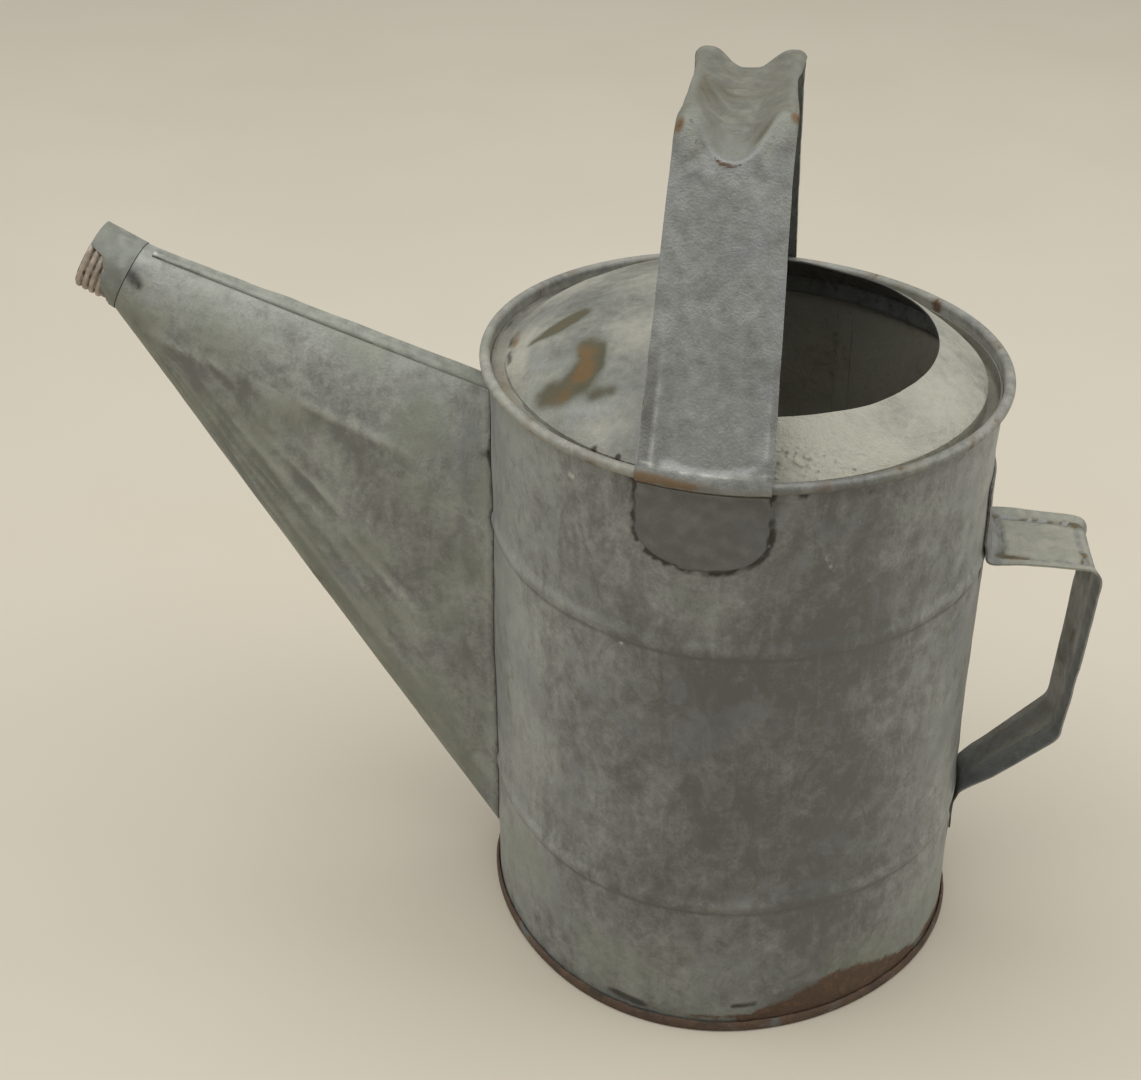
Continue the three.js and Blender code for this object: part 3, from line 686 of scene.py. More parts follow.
@dataclass(frozen=True)
class ZincPatina:
    """Weathered zinc: mottled grey, with dust, grime, stains and rust where the mesh is marked, and painted
    light and shade where the marks carry it.
    """

    name: str
    light: Rgb = (0.350, 0.366, 0.345)
    dark: Rgb = (0.126, 0.129, 0.122)
    bluish: Rgb = (0.200, 0.212, 0.228)
    green: Rgb = (0.205, 0.222, 0.168)
    # Bare metal, also the colour of painted highlights and glints.
    bare_and_highlight: Rgb = (0.50, 0.50, 0.45)
    # Dust, also the colour of painted light on faces that turn up.
    dust: Rgb = (0.44, 0.42, 0.335)
    # Dirt, also the colour of painted shade in creases and under edges.
    grime: Rgb = (0.030, 0.025, 0.019)
    # The colour of painted shade.
    shade: Rgb = (0.070, 0.067, 0.062)
    stain: Rgb = (0.082, 0.070, 0.036)
    ochre: Rgb = (0.155, 0.092, 0.033)
    rust: Rgb = (0.072, 0.038, 0.019)
    rust_light: Rgb = (0.150, 0.080, 0.037)
    metallic: float = 0.35
    roughness: float = 0.5
    grain: float = 0.0003
    mottle: float = 1.0

    def material(self) -> bpy.types.Material:
        """Builds the finish.

        Returns:
            The material.
        """
        graph = Graph.of_material(self.name)
        broad = graph.noise(14.0, 2.0, warp=0.4)
        blotch = graph.noise(105.0, 4.0, warp=0.8)
        wisp = graph.noise(72.0, 6.0, (1.0, 1.0, 0.6), 2.0)
        streak = graph.noise(120.0, 4.0, (1.0, 1.0, 0.1))
        speck = graph.noise(260.0, 3.0)
        grain = graph.noise(900.0, 2.0)
        tint = graph.noise(24.0, 3.0, warp=0.8)

        crack = graph.noise(78.0, 3.0, (1.0, 1.0, 0.8), 1.6)
        vein = (1.0 - crack * crack * 1500.0).step(0.0, 1.0)

        level = broad * 0.25 + blotch * 0.5 + wisp * 0.8 + streak * 0.3 + vein * 0.06
        level = 0.47 + level * self.mottle + speck * 0.55 + grain * 0.4
        # The tone mark moves the patina lighter or darker: partly at random, partly as painted light and
        # shade.
        level = level + graph.mark(Mark.LIGHT_AND_TONE) * 0.55
        colour = Colour(graph, self.dark).toward(self.light, level.step(0.0, 1.0))
        colour = colour.toward(self.bluish, (tint + wisp * 0.6).step(-0.02, 0.24) * 0.5)
        green = (graph.mark(Mark.GREEN) + wisp * 0.9 + broad * 0.5).step(0.1, 0.9)
        colour = colour.toward(self.green, green * 0.6)
        # Painted shade: a plain darkening where the shade mark is set.
        colour = colour.toward(self.shade, graph.mark(Mark.SHADE) * 0.9)

        # One mask for rubbed metal and for painted highlights.
        wear = (graph.mark(Mark.WEAR_AND_HIGHLIGHT) + speck * 0.7 + blotch * 0.3).step(0.3, 0.85)
        # One mask for dust and for painted light on faces that turn up.
        dust = (graph.mark(Mark.DUST_AND_LIGHT) + blotch * 0.55 + speck * 0.35 + streak * 0.2).step(0.12, 0.95)
        stain = (graph.mark(Mark.STAIN) + blotch * 0.55 + speck * 0.4).step(0.2, 0.85)
        # One mask for dirt and for painted shade in creases and under edges.
        grime = (graph.mark(Mark.GRIME_AND_SHADE) + blotch * 0.6 + speck * 0.55).step(0.25, 0.9)
        rust = (graph.mark(Mark.RUST) + blotch * 0.8 + wisp * 0.5 + speck * 0.8 + grain * 0.3).step(0.4, 0.8)

        colour = colour.toward(self.bare_and_highlight, wear * 0.75)
        colour = colour.toward(self.dust, dust * 0.85)
        colour = colour.toward(self.stain, stain * 0.88)
        ochre = (graph.mark(Mark.OCHRE) + blotch * 0.5 + speck * 0.3).step(0.22, 0.9)
        colour = colour.toward(self.ochre, ochre * 0.85)
        fresh = (blotch + speck * 1.2 + grain).step(-0.1, 0.6)
        rusty = Colour(graph, self.rust).toward(self.rust_light, fresh)
        colour = colour.toward(rusty, rust * 0.94)
        colour = colour.toward(self.grime, grime * 0.9)

        cover = dust.highest(stain).highest(rust).highest(grime).highest(ochre)
        metallic = (1.0 - cover) * self.metallic
        roughness = self.roughness + cover * 0.3 + blotch * 0.25 + speck * 0.15 - wear * 0.1
        height = speck * (0.6 + dust * 1.2) + grain * 0.6 + wisp * 0.3 + vein * (0.08 * self.mottle)
        height = height + rust * (speck * 2.0 + 0.35)
        return graph.finish(
            {
                "Base Color": colour,
                "Metallic": metallic,
                "Roughness": roughness,
                "Normal": graph.bump(height, self.grain),
            }
        )


@dataclass(frozen=True)
class TarnishedBrass:
    """Brown and pinkish tarnish with dark grooves."""

    name: str = "tarnished_brass"
    light: Rgb = (0.520, 0.455, 0.385)
    dark: Rgb = (0.230, 0.193, 0.158)
    pink: Rgb = (0.470, 0.380, 0.335)
    grime: Rgb = (0.040, 0.030, 0.022)

    def material(self) -> bpy.types.Material:
        """Builds the finish.

        Returns:
            The material.
        """
        graph = Graph.of_material(self.name)
        blotch = graph.noise(150.0, 4.0, warp=0.4)
        speck = graph.noise(520.0, 3.0)
        level = (0.55 + blotch * 1.3 + speck * 0.8).step(0.0, 1.0)
        colour = Colour(graph, self.dark).toward(self.light, level)
        colour = colour.toward(self.pink, (blotch + speck * 0.6).step(-0.05, 0.25) * 0.5)
        grime = (graph.mark(Mark.GRIME_AND_SHADE) + blotch * 0.6 + speck * 0.5).step(0.25, 0.85)
        colour = colour.toward(self.grime, grime * 0.9)
        return graph.finish(
            {
                "Base Color": colour,
                "Metallic": (1.0 - grime) * 0.45,
                "Roughness": 0.52 + grime * 0.3 + speck * 0.3,
                "Normal": graph.bump(speck * 1.2 + blotch, 0.0003),
            }
        )


@dataclass(frozen=True)
class PlainSteel:
    """Dull steel wire."""

    name: str = "plain_wire"
    colour: Rgb = (0.17, 0.15, 0.13)

    def material(self) -> bpy.types.Material:
        """Builds the finish.

        Returns:
            The material.
        """
        graph = Graph.of_material(self.name)
        speck = graph.noise(300.0, 3.0)
        colour = Colour(graph, self.colour).toward((0.10, 0.06, 0.035), (speck * 2.0).step(-0.2, 0.6))
        return graph.finish({"Base Color": colour, "Metallic": 0.5, "Roughness": 0.6 + speck * 0.2})


# The pieces


@dataclass
class Body:
    """The wall with its rings, seam and curled rim, the wire in it and the bottom plate."""

    radius: float = 108.0
    height: float = 280.0
    sheet: float = 0.7
    bottom: float = 1.0
    bead: float = 2.3
    swages: Pair = (71.7, 203.5)
    swage_rise: float = 0.95
    swage_width: float = 9.0
    seam_angle: float = 66.5
    seam_width: float = 7.5
    around: int = 350
    tab_outline: tuple[Point, ...] = ()
    foot_section: tuple[Pair, ...] = (
        (0.0, 2.5), (50.0, 2.5), (100.0, 2.5), (103.0, 2.4), (104.2, 1.2), (105.2, 0.2),
        (106.5, 0.0), (108.8, 0.0), (109.6, 0.3), (109.95, 1.1), (110.0, 2.2), (109.95, 3.4),
        (109.7, 4.3), (109.2, 4.9), (108.7, 4.9), (108.4, 4.3), (108.38, 2.0), (108.2, 0.76),
        (105.8, 0.76), (103.6, 3.15), (100.0, 3.2), (50.0, 3.2), (0.0, 3.2),
    )

    def swell(self, height: Array) -> Array:
        """How far the raised rings stand out at some heights.

        Args:
            height: The heights.

        Returns:
            The rise at each height.
        """
        total = np.zeros_like(height)
        for middle in self.swages:
            share = np.clip(1.0 - (2.0 * (height - middle) / self.swage_width) ** 2, 0.0, 1.0)
            total = total + self.swage_rise * share**1.66
        return total

    def columns(self) -> Array:
        """Angles round the wall in degrees, closer together at the side seam.

        Returns:
            The angles, sorted.
        """
        half = math.degrees(self.seam_width / 2.0 / self.radius)
        even = np.linspace(-180.0, 180.0, self.around, endpoint=False)
        even = even[np.abs(even - self.seam_angle) > half + 1.2]
        near = np.array([-1.45, -1.12, -1.0, -0.9, -0.45, 0.0, 0.45, 0.9, 1.0, 1.12, 1.45]) * half
        return np.sort(np.concatenate([even, self.seam_angle + near]))

    def profile(self) -> tuple[Array, Array]:
        """The wall's section.

        Returns:
            Points as (radius, height), and how far each lies on the inside, 0 or 1.
        """
        inner = self.radius - self.sheet
        centre = (inner + self.bead, self.height - self.bead)
        end = -180.0 + math.degrees(math.acos((centre[0] - self.radius - 0.3) / self.bead))
        even = even_steps(self.bottom, centre[1] - self.bead, 130)
        close = [middle + step for middle in self.swages for step in even_steps(-6.5, 6.5, 19)]
        away = [z for z in even if all(abs(z - middle) > 7.2 for middle in self.swages)]
        outside = np.array(sorted(away + close))
        inside = np.array(even_steps(centre[1] - self.bead, self.bottom, 44))
        rows = [(self.radius + float(swell), float(z)) for z, swell in zip(outside, self.swell(outside))]
        side = [0.0] * len(rows)
        curl = arc(centre, self.bead - self.sheet, even_steps(175.0, end, 9))
        curl += arc(centre, self.bead, even_steps(end, 180.0, 22))
        rows += curl
        side += [0.0] * len(curl)
        rows += [(inner + float(swell), float(z)) for z, swell in zip(inside[1:], self.swell(inside[1:]))]
        side += [1.0] * (len(inside) - 1)
        return np.array(rows), np.array(side)

    def build_wall(self, finish: bpy.types.Material) -> bpy.types.Object:
        """Makes the wall in one piece of sheet, with the slot into the spout.

        Args:
            finish: Its finish.

        Returns:
            The wall.
        """
        profile, inside = self.profile()
        angles = self.columns()
        off = np.abs(angles - self.seam_angle) * math.radians(1.0) * self.radius
        band = 1.0 - ramp(off, self.seam_width / 2.0 - 0.1, self.seam_width / 2.0 + 0.5)
        heights = profile[:, 1]
        seam = (ramp(heights, 11.0, 13.0) * (1.0 - ramp(heights, 259.0, 262.0)))[:, None] * band
        lift = seam * np.where(inside > 0.5, -0.8, 0.5)[:, None]
        skin = Skin.ring(revolve(profile[:, :1] + lift, profile[:, 1:], np.radians(angles)))
        self.mark_wall(skin, np.repeat(inside, len(angles)))
        skin.points = KNOCKS.move(skin.points)
        wall = skin.make("wall_sheet", finish)
        cut_away(wall, self.outlet())
        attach(wall, "root")
        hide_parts("body_shell")
        return wall

    def outlet(self) -> bpy.types.Object:
        """A round-ended bar that cuts the slot into the spout.

        Returns:
            The bar.
        """
        outline = arc((0.0, 135.0), 15.0, even_steps(0.0, 180.0, 25))
        outline += arc((0.0, 63.0), 15.0, even_steps(180.0, 360.0, 25))
        near, far = -90.0, -125.0
        points = np.array([(near, y, z) for y, z in outline] + [(far, y, z) for y, z in outline])
        count = len(outline)
        faces = [(i, (i + 1) % count, (i + 1) % count + count, i + count) for i in range(count)]
        faces += [tuple(range(count)), tuple(range(2 * count - 1, count - 1, -1))]
        return Skin(points, faces).make("outlet_cutter", bpy.data.materials.new("cutter"))

    def mark_wall(self, skin: Skin, sides: Array) -> None:
        """Paints rust, grime and wear on the wall, and painted light and shade: the lit tops and shaded
        undersides of the rings and the bead, glints, the dark reflection across the front and shadow inside.

        Args:
            skin: The wall's skin.
            sides: How far each point lies on the inside, 0 or 1.
        """
        points = skin.points
        outer = 1.0 - sides
        height = points[:, 2]
        angle = np.degrees(np.arctan2(points[:, 1], points[:, 0]))
        wide = SoftNoise(31, 60.0).at(points)
        small = SoftNoise(32, 14.0).at(points)
        bead = ramp(height, 274.9, 275.8)
        above_seam = hump(height, 7.0, 2.6)
        rust_patch = trails(
            points,
            (
                wall_line(((-72, 4), (-62, 11), (-55, 14), (-46, 9), (-34, 3)), 6.8, 1.3),
                wall_line(((-80, 4), (-30, 4)), 2.6, 0.55),
                wall_line(((-20, 7), (20, 10)), 5.0, 0.5),
                wall_line(((140, 7), (170, 12)), 6.0, 0.6),
            ),
        )
        worn_and_glints = trails(
            points,
            (
                wall_line(((-125.4, 265.5), (-124.4, 265)), 1.1, 1.0),
                wall_line(((-69, 245), (-67, 238)), 0.9, 0.6),
                wall_line(((-110, 268), (-110, 246)), 1.6, 0.4),
                # Painted glints: the last two spots are small highlights on the wall.
                wall_line(((-125.6, 187.5), (-125.0, 186.7)), 0.6, 0.9),
                wall_line(((-111.5, 198.0), (-111.0, 197.6)), 0.6, 0.9),
            ),
        )
        scuffs = trails(
            points,
            (
                wall_line(((-111.5, 9.6), (-103.5, 8.2)), 1.4, 0.95),
                wall_line(((-82.2, 13.6), (-77.2, 14.6)), 1.2, 0.9),
                wall_line(((-74.6, 273.8),), 1.8, 0.8),
                wall_line(((-67.9, 239.5),), 1.2, 0.6),
                wall_line(((-60, 271), (-48, 270), (-30, 271)), 2.0, 0.25),
            ),
        )
        under_rim = hump(height, 272.0, 4.5) * ramp(angle, -80.0, -60.0) * (1 - ramp(angle, 10.0, 40.0))
        # A dark line round the top handle's tab: dirt, and painted shadow of the gap between the strap's edge
        # and the wall.
        tab = np.zeros(len(points))
        if self.tab_outline:
            tab = Trail(self.tab_outline, 1.6, 1.0).at(near_side(points)) * outer
            tab = tab * (0.72 + 0.3 * SoftNoise(34, 6.0).at(points))
        rear = trails(
            points,
            (
                wall_line(((-13.5, 238), (-13.5, 196)), 2.2, 0.9),
                wall_line(((13.5, 238), (13.5, 196)), 2.2, 0.9),
                wall_line(((-7.5, 66), (-7.0, 46), (7.0, 46), (7.5, 66)), 2.4, 0.9),
            ),
        )
        # Painted light and shade of the raised rings: a dark shaded line under each ring and a lit band along
        # its top.
        ring_shade = sum(hump(height - middle, -4.3, 0.8) for middle in self.swages)
        ring_highlight = sum(hump(height - middle, 0.9, 2.2) for middle in self.swages)
        ring_highlight = ring_highlight * (0.6 + 0.25 * wide)
        below = 1.0 - ramp(height, 20.0, 90.0)
        # Painted reflection: the wall is darker across its front and at -60 degrees, and lighter towards both
        # sides and at the far right.
        centre = hump(angle, -88.0, 26.0) * (1.0 - below) * (1.0 - 0.6 * ramp(height, 190.0, 235.0))
        right = hump(angle, -60.0, 15.0)
        sides_light = ramp(np.abs(angle + 90.0), 30.0, 58.0)
        # Painted shade inside the wall: a dark band beside the step of the seam, and painted shadow over the
        # inside past the seam.
        fold = hump(angle - self.seam_angle, 1.0, 3.2)
        near_left = 1.0 - ramp(np.abs(angle + 135.0), 32.0, 55.0)
        # Painted shade on the underside of the rim bead.
        under_bead = bead * (1.0 - ramp(height, 275.4, 277.0))
        skin.mark(
            RUST=outer * (1.15 * rust_patch + above_seam * (0.42 + 0.22 * wide) + 0.25 * tab)
            + bead * (0.10 + 0.20 * small) + sides * 0.1,
            GRIME_AND_SHADE=outer * (1.4 * tab + rear + scuffs + 0.25 * ring_shade + 0.3 * above_seam)
            + 0.14 * under_rim * outer * (1.0 + 0.8 * small)
            + sides * (0.05 * wide + 0.3 * fold)
            + 0.3 * under_bead
            + 0.22 * bead * ramp(small, 0.2, 1.2),
            SHADE=outer * 0.22 * centre + sides * 0.42 * ramp(angle, 67.5, 68.5) + bead * 0.2,
            WEAR_AND_HIGHLIGHT=outer * (worn_and_glints + 0.12 * ring_highlight) + bead * 0.3 * near_left,
            DUST_AND_LIGHT=bead * (0.18 + 0.16 * ramp(angle, -70.0, -20.0) + 0.25 * near_left)
            + outer * (0.02 + 0.12 * below) + sides * 1.1,
            STAIN=sides * 0.10 * small + bead * 0.16 * ramp(-small, 0.0, 1.0),
            OCHRE=sides * (0.34 + 0.12 * wide) + bead * (0.24 + 0.14 * small),
            LIGHT_AND_TONE=outer * (0.10 * wide + 0.08 * small + 0.30 * ring_highlight - 0.6 * ring_shade - 0.2 * above_seam)
            # Painted reflection on the outside: lighter at the sides, darker across the front.
            + outer * (0.42 * sides_light * (1.0 - 0.9 * ramp(angle, -75.0, -50.0)) - 0.42 * centre)
            + outer * (0.24 * ramp(angle, -48.0, -25.0) - 0.50 * right - 0.08 * under_rim)
            + sides * 0.9,
            GREEN=outer * (0.6 * below + 0.18 * wide - 0.12) + bead * 0.3,
        )

    def build_bottom(self, finish: bpy.types.Material) -> bpy.types.Object:
        """Makes the bottom plate with its rounded seam round the foot.

        Args:
            finish: Its finish.

        Returns:
            The plate.
        """
        profile = np.array(self.foot_section)
        angles = np.radians(np.linspace(-180.0, 180.0, 360, endpoint=False))
        grid = revolve(profile[:, :1], profile[:, 1:], angles)
        edge = ramp(profile[:, 0], 107.0, 109.0)[:, None] * ramp(profile[:, 1], 1.0, 3.0)[:, None]
        bruise = SoftNoise(41, 16.0).at(grid) * 0.16 + SoftNoise(42, 5.0).at(grid) * 0.07
        grid[..., 2] += edge * np.minimum(bruise, 0.1)
        grid[..., :2] *= (1.0 - edge * np.maximum(bruise, 0.0) / self.radius)[..., None]
        skin = Skin.ring(grid)
        rim = ramp(np.hypot(skin.points[:, 0], skin.points[:, 1]), 102.0, 107.5)
        patch = SoftNoise(43, 26.0).at(skin.points)
        skin.mark(
            RUST=rim * (0.92 + 0.16 * patch) + (1.0 - rim) * (0.3 + 0.2 * patch),
            GRIME_AND_SHADE=0.20 + 0.12 * patch + 0.22 * rim * ramp(SoftNoise(44, 9.0).at(skin.points), 0.2, 1.4),
            DUST_AND_LIGHT=rim * 0.25 * ramp(SoftNoise(45, 12.0).at(skin.points), 0.3, 1.5),
            OCHRE=rim * 0.3,
            LIGHT_AND_TONE=0.2 * patch,
        )
        skin.points = KNOCKS.move(skin.points)
        plate = skin.make("bottom_sheet", finish)
        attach(plate, "root")
        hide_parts("bottom_plate")
        return plate

    def dress_wire(self, finish: bpy.types.Material) -> bpy.types.Object:
        """Gives the CAD wire in the rim its finish.

        Args:
            finish: Its finish.

        Returns:
            The wire.
        """
        wire = bpy.data.objects["rim_wire"]
        wire.data.materials.clear()
        wire.data.materials.append(finish)
        return wire


@dataclass
class Breast:
    """The domed top sheet with its gutter and half-moon opening."""

    foot: float = 101.0
    shoulder: float = 275.5
    rise: float = 31.0
    opening_radius: float = 79.5
    chord: float = -6.0
    corner: float = 16.0
    hub: float = 45.0
    columns: int = 400
    rows: int = 58
    sheet: float = 0.7
    gutter_top: tuple[Pair, ...] = (
        (101.0, 274.6), (101.0, 272.0), (101.05, 269.0), (101.25, 267.9), (101.7, 267.3),
        (102.4, 267.0), (103.6, 266.9), (104.9, 267.0), (105.6, 267.3), (106.1, 267.9),
        (106.3, 268.8), (106.3, 271.5), (106.3, 274.5),
    )
    gutter_under: tuple[Pair, ...] = (
        (100.3, 274.2), (100.3, 271.8), (100.35, 268.9), (100.6, 267.3), (101.2, 266.6),
        (102.2, 266.3), (103.6, 266.2), (105.1, 266.3), (106.0, 266.7), (106.7, 267.5),
        (107.0, 268.7), (107.0, 271.5), (107.0, 274.5),
    )

    def outline(self) -> Array:
        """Points round the filling opening, evenly spaced, in plan.

        Returns:
            One point a column.
        """
        centre_x = self.chord + self.corner
        centre_y = math.sqrt((self.opening_radius - self.corner) ** 2 - centre_x**2)
        turn = math.degrees(math.atan2(centre_y, centre_x))
        path = arc((centre_x, -centre_y), self.corner, even_steps(-180.0, -turn, 30))
        path += arc((0.0, 0.0), self.opening_radius, even_steps(-turn, turn, 120))[1:]
        path += arc((centre_x, centre_y), self.corner, even_steps(turn, 180.0, 30))[1:]
        path += [(self.chord, y) for y in even_steps(centre_y, -centre_y, 60)[1:]]
        closed = np.array(path)
        step = float(np.hypot(*np.diff(closed, axis=0).T).sum()) / self.columns
        return resample(closed, step)[:-1][: self.columns]

    def height(self, radius: Array) -> Array:
        """Height of the dome at some radii."""
        return self.shoulder + self.rise * (1.0 - (np.minimum(radius, self.foot) / self.foot) ** 3)

    def build(self, finish: bpy.types.Material) -> bpy.types.Object:
        """Makes the breast in one piece of sheet.

        Args:
            finish: Its finish.

        Returns:
            The breast.
        """
        opening = self.outline()
        ray = opening - np.array([self.hub, 0.0])
        ray /= np.linalg.norm(ray, axis=1, keepdims=True)
        half = ray[:, 0] * self.hub
        reach = -half + np.sqrt(half**2 - self.hub**2 + self.foot**2)
        foot = np.array([self.hub, 0.0]) + ray * reach[:, None]
        out = foot / np.linalg.norm(foot, axis=1, keepdims=True)
        shares = np.linspace(0.0, 1.0, self.rows) ** 1.15
        plan = opening[None] * (1.0 - shares)[:, None, None] + foot[None] * shares[:, None, None]
        radius = np.linalg.norm(plan, axis=-1)
        dome = np.concatenate([plan, self.height(radius)[..., None]], axis=-1)
        under = dome - np.array([0.0, 0.0, self.sheet])
        outer = np.concatenate([dome, self.turned(self.gutter_top, out)])
        inner = np.concatenate([under, self.turned(self.gutter_under, out)])
        on_top = (np.arange(len(outer)) < self.rows).astype(float)
        self.fill_gutter(outer[self.rows :], out)
        dents = self.dents(outer)
        from_axis = np.hypot(outer[..., 0], outer[..., 1])
        fade = on_top[:, None] * (1.0 - ramp(from_axis, 96.0, 101.0))
        outer[..., 2] += dents * fade
        inner[..., 2] += dents * fade
        skin = Skin.between(outer, inner, True)
        self.mark(skin, outer.shape[0] * outer.shape[1])
        skin.points = KNOCKS.move(skin.points)
        piece = skin.make("breast_sheet", finish)
        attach(piece, "root")
        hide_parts("breast")
        return piece

    def fill_gutter(self, fold: Array, out: Array) -> None:
        """Raises the gutter's floor where old dirt lies in it.

        Args:
            fold: Points of the gutter's upper face, changed in place.
            out: Directions in plan from the can's axis, one a column.
        """
        turn = np.degrees(np.arctan2(out[:, 1], out[:, 0]))
        dirt = np.minimum(1.5 * hump(np.abs(turn), 178.0, 62.0), 1.0)
        dirt = dirt + 0.6 * hump(turn, -72.0, 24.0)
        uneven = 0.35 * SoftNoise(53, 14.0).at(foot_line(out))
        level = 266.9 + 6.9 * np.minimum(dirt, 1.0)[None] + uneven[None]
        share = ramp(level - fold[..., 2], 0.0, 2.0)
        spread = np.linspace(101.0, 106.3, len(fold))[:, None]
        radius = lerp(np.hypot(fold[..., 0], fold[..., 1]), spread, share)
        fold[..., :2] = out[None] * radius[..., None]
        fold[..., 2] = np.maximum(fold[..., 2], level)

    def turned(self, section: Sequence[Pair], out: Array) -> Array:
        """Turns a section round the can along some directions.

        Args:
            section: Points as (radius, height).
            out: Directions in plan, one a column.

        Returns:
            The points, rows by columns.
        """
        rows = np.zeros((len(section), len(out), 3))
        for row, (radius, height) in zip(rows, section):
            row[:, :2] = out * radius
            row[:, 2] = height
        return rows

    def dents(self, grid: Array) -> Array:
        """How far the dome is knocked up or down at its points.

        Args:
            grid: The dome's points.

        Returns:
            The move of each point.
        """
        knocks = trails(
            grid,
            (
                dome_line(((-83, -29), (-76, -36)), 4.0, -0.9),
                dome_line(((-62, -66), (-53, -69)), 4.2, -0.9),
                dome_line(((-60, -22), (-60, -44)), 5.0, -0.5),
                dome_line(((-30, -60), (-12, -52)), 9.0, -0.6),
                dome_line(((-45, 40), (-60, 30)), 10.0, -0.8),
                dome_line(((40, -86), (62, -70)), 5.0, -0.35),
            ),
        )
        return knocks + 0.22 * SoftNoise(51, 55.0).at(grid) + 0.07 * SoftNoise(52, 16.0).at(grid)

    def mark(self, skin: Skin, outer_count: int) -> None:
        """Paints dust, the brown and olive stain, the dirt in the gutter and painted highlights on the rims
        of the dents.

        Args:
            skin: The breast's skin.
            outer_count: How many points its upper face has.
        """
        points = skin.points
        outer = skin.first(outer_count)
        radius = np.hypot(points[:, 0], points[:, 1])
        wide = SoftNoise(61, 48.0).at(points)
        small = SoftNoise(62, 10.0).at(points)
        gutter = ramp(radius, 100.6, 102.2) * outer
        streak = trails(
            points,
            (
                dome_line(((-67.0, -6.0), (-76.6, -10.8)), 2.6, 0.8),
                dome_line(((-71.5, -9.0), (-80.0, -11.8)), 3.3, 0.9),
                dome_line(((-76.6, -10.8), (-89.0, -13.0)), 1.8, 0.8),
                dome_line(((-62.5, -33.5), (-60.4, -44.0), (-62.0, -51.0)), 4.6, 0.92),
                dome_line(((-64.0, -53.5), (-71.0, -56.0), (-77.5, -53.5)), 5.6, 0.95),
                dome_line(((-57.5, -63.5), (-49.0, -63.5)), 2.4, 0.7),
                dome_line(((-55.8, -36.0), (-55.5, -50.0)), 1.8, 0.5),
            ),
        )
        ochre = trails(
            points,
            (
                dome_line(((-63.0, -35.0), (-61.6, -44.0), (-62.5, -51.5)), 3.5, 0.95),
                dome_line(((-62.5, -51.5), (-70, -57)), 3.6, 0.4),
                dome_line(((-70.0, -58.5), (-76.0, -56.0)), 3.4, 0.42),
                dome_line(((-70.5, -8.0), (-78.0, -11.5)), 1.7, 0.55),
            ),
        ) * (0.92 + 0.12 * small)
        orange = dome_line(((-97, 8), (-97, -3)), 2.4, 0.75).at(points)
        # Painted highlights: light bluish lines on the lit rims of the dents.
        dent_highlight = trails(
            points,
            (
                dome_line(((-81.5, -35.0), (-70.0, -40.0)), 2.6, 1.0),
                dome_line(((-64.3, -67.0), (-48.7, -71.5)), 2.8, 1.0),
                dome_line(((-88.0, -20.5), (-85.0, -32.0)), 2.6, 0.7),
                dome_line(((-84, -46), (-80, -60)), 2.6, 0.6),
            ),
        )
        crumbs = trails(
            points,
            (
                dome_line(((-53.3, -85.7),), 1.3, 1.2),
                dome_line(((-43, -91),), 1.2, 1.2),
                dome_line(((-98, -16), (-99, -8)), 1.6, 0.8),
                dome_line(((-99, 0), (-99, 7)), 1.8, 0.8),
                dome_line(((-94, -34), (-90, -44)), 1.6, 0.5),
            ),
        )
        tiny = SoftNoise(63, 3.0).at(points)
        x, y = points[:, 0], points[:, 1]
        beige = hump(x, -95.0, 7.0) * hump(y, -26.0, 22.0)
        speckled = hump(x, 22.0, 30.0) * hump(y, -93.0, 14.0)
        edge = np.zeros(len(points))
        edge[: self.columns] = 1.0
        front = ramp(-y, 20.0, 90.0) * ramp(x, -10.0, 25.0) + ramp(x, 20.0, 90.0) * 0.5
        left = 1.0 - ramp(x, -60.0, -10.0)
        skin.mark(
            DUST_AND_LIGHT=outer * (0.46 + 0.08 * wide + 0.34 * front - 0.06 * left - 0.3 * dent_highlight - 0.4 * streak)
            + outer * (0.35 * beige + 0.10 * gutter),
            STAIN=outer * (streak + 0.36 * gutter + 0.28 * speckled * (1.0 + 0.6 * tiny))
            + (1.0 - outer) * 0.45,
            OCHRE=outer * (ochre + orange + 0.26 * gutter + 0.2 * speckled + 0.28 * beige),
            RUST=outer * orange * 0.3 + (1.0 - outer) * 0.35 + 0.3 * edge,
            GRIME_AND_SHADE=outer * (0.14 * gutter * (1.0 + 0.3 * wide) + crumbs)
            + outer * (0.30 * speckled * ramp(tiny, 0.4, 1.4) + 0.25 * front * ramp(tiny * small, 1.0, 2.2))
            + (1.0 - outer) * 0.4,
            # Plain darkening towards the left and in the gutter.
            SHADE=outer * (0.16 * left + 0.36 * gutter),
            WEAR_AND_HIGHLIGHT=outer * (0.35 * dent_highlight + edge * 0.4),
            LIGHT_AND_TONE=outer * (0.12 * wide + 0.08 * small + 0.7 * dent_highlight - 0.1 * left),
            GREEN=outer * (0.45 + 0.5 * streak),
        )


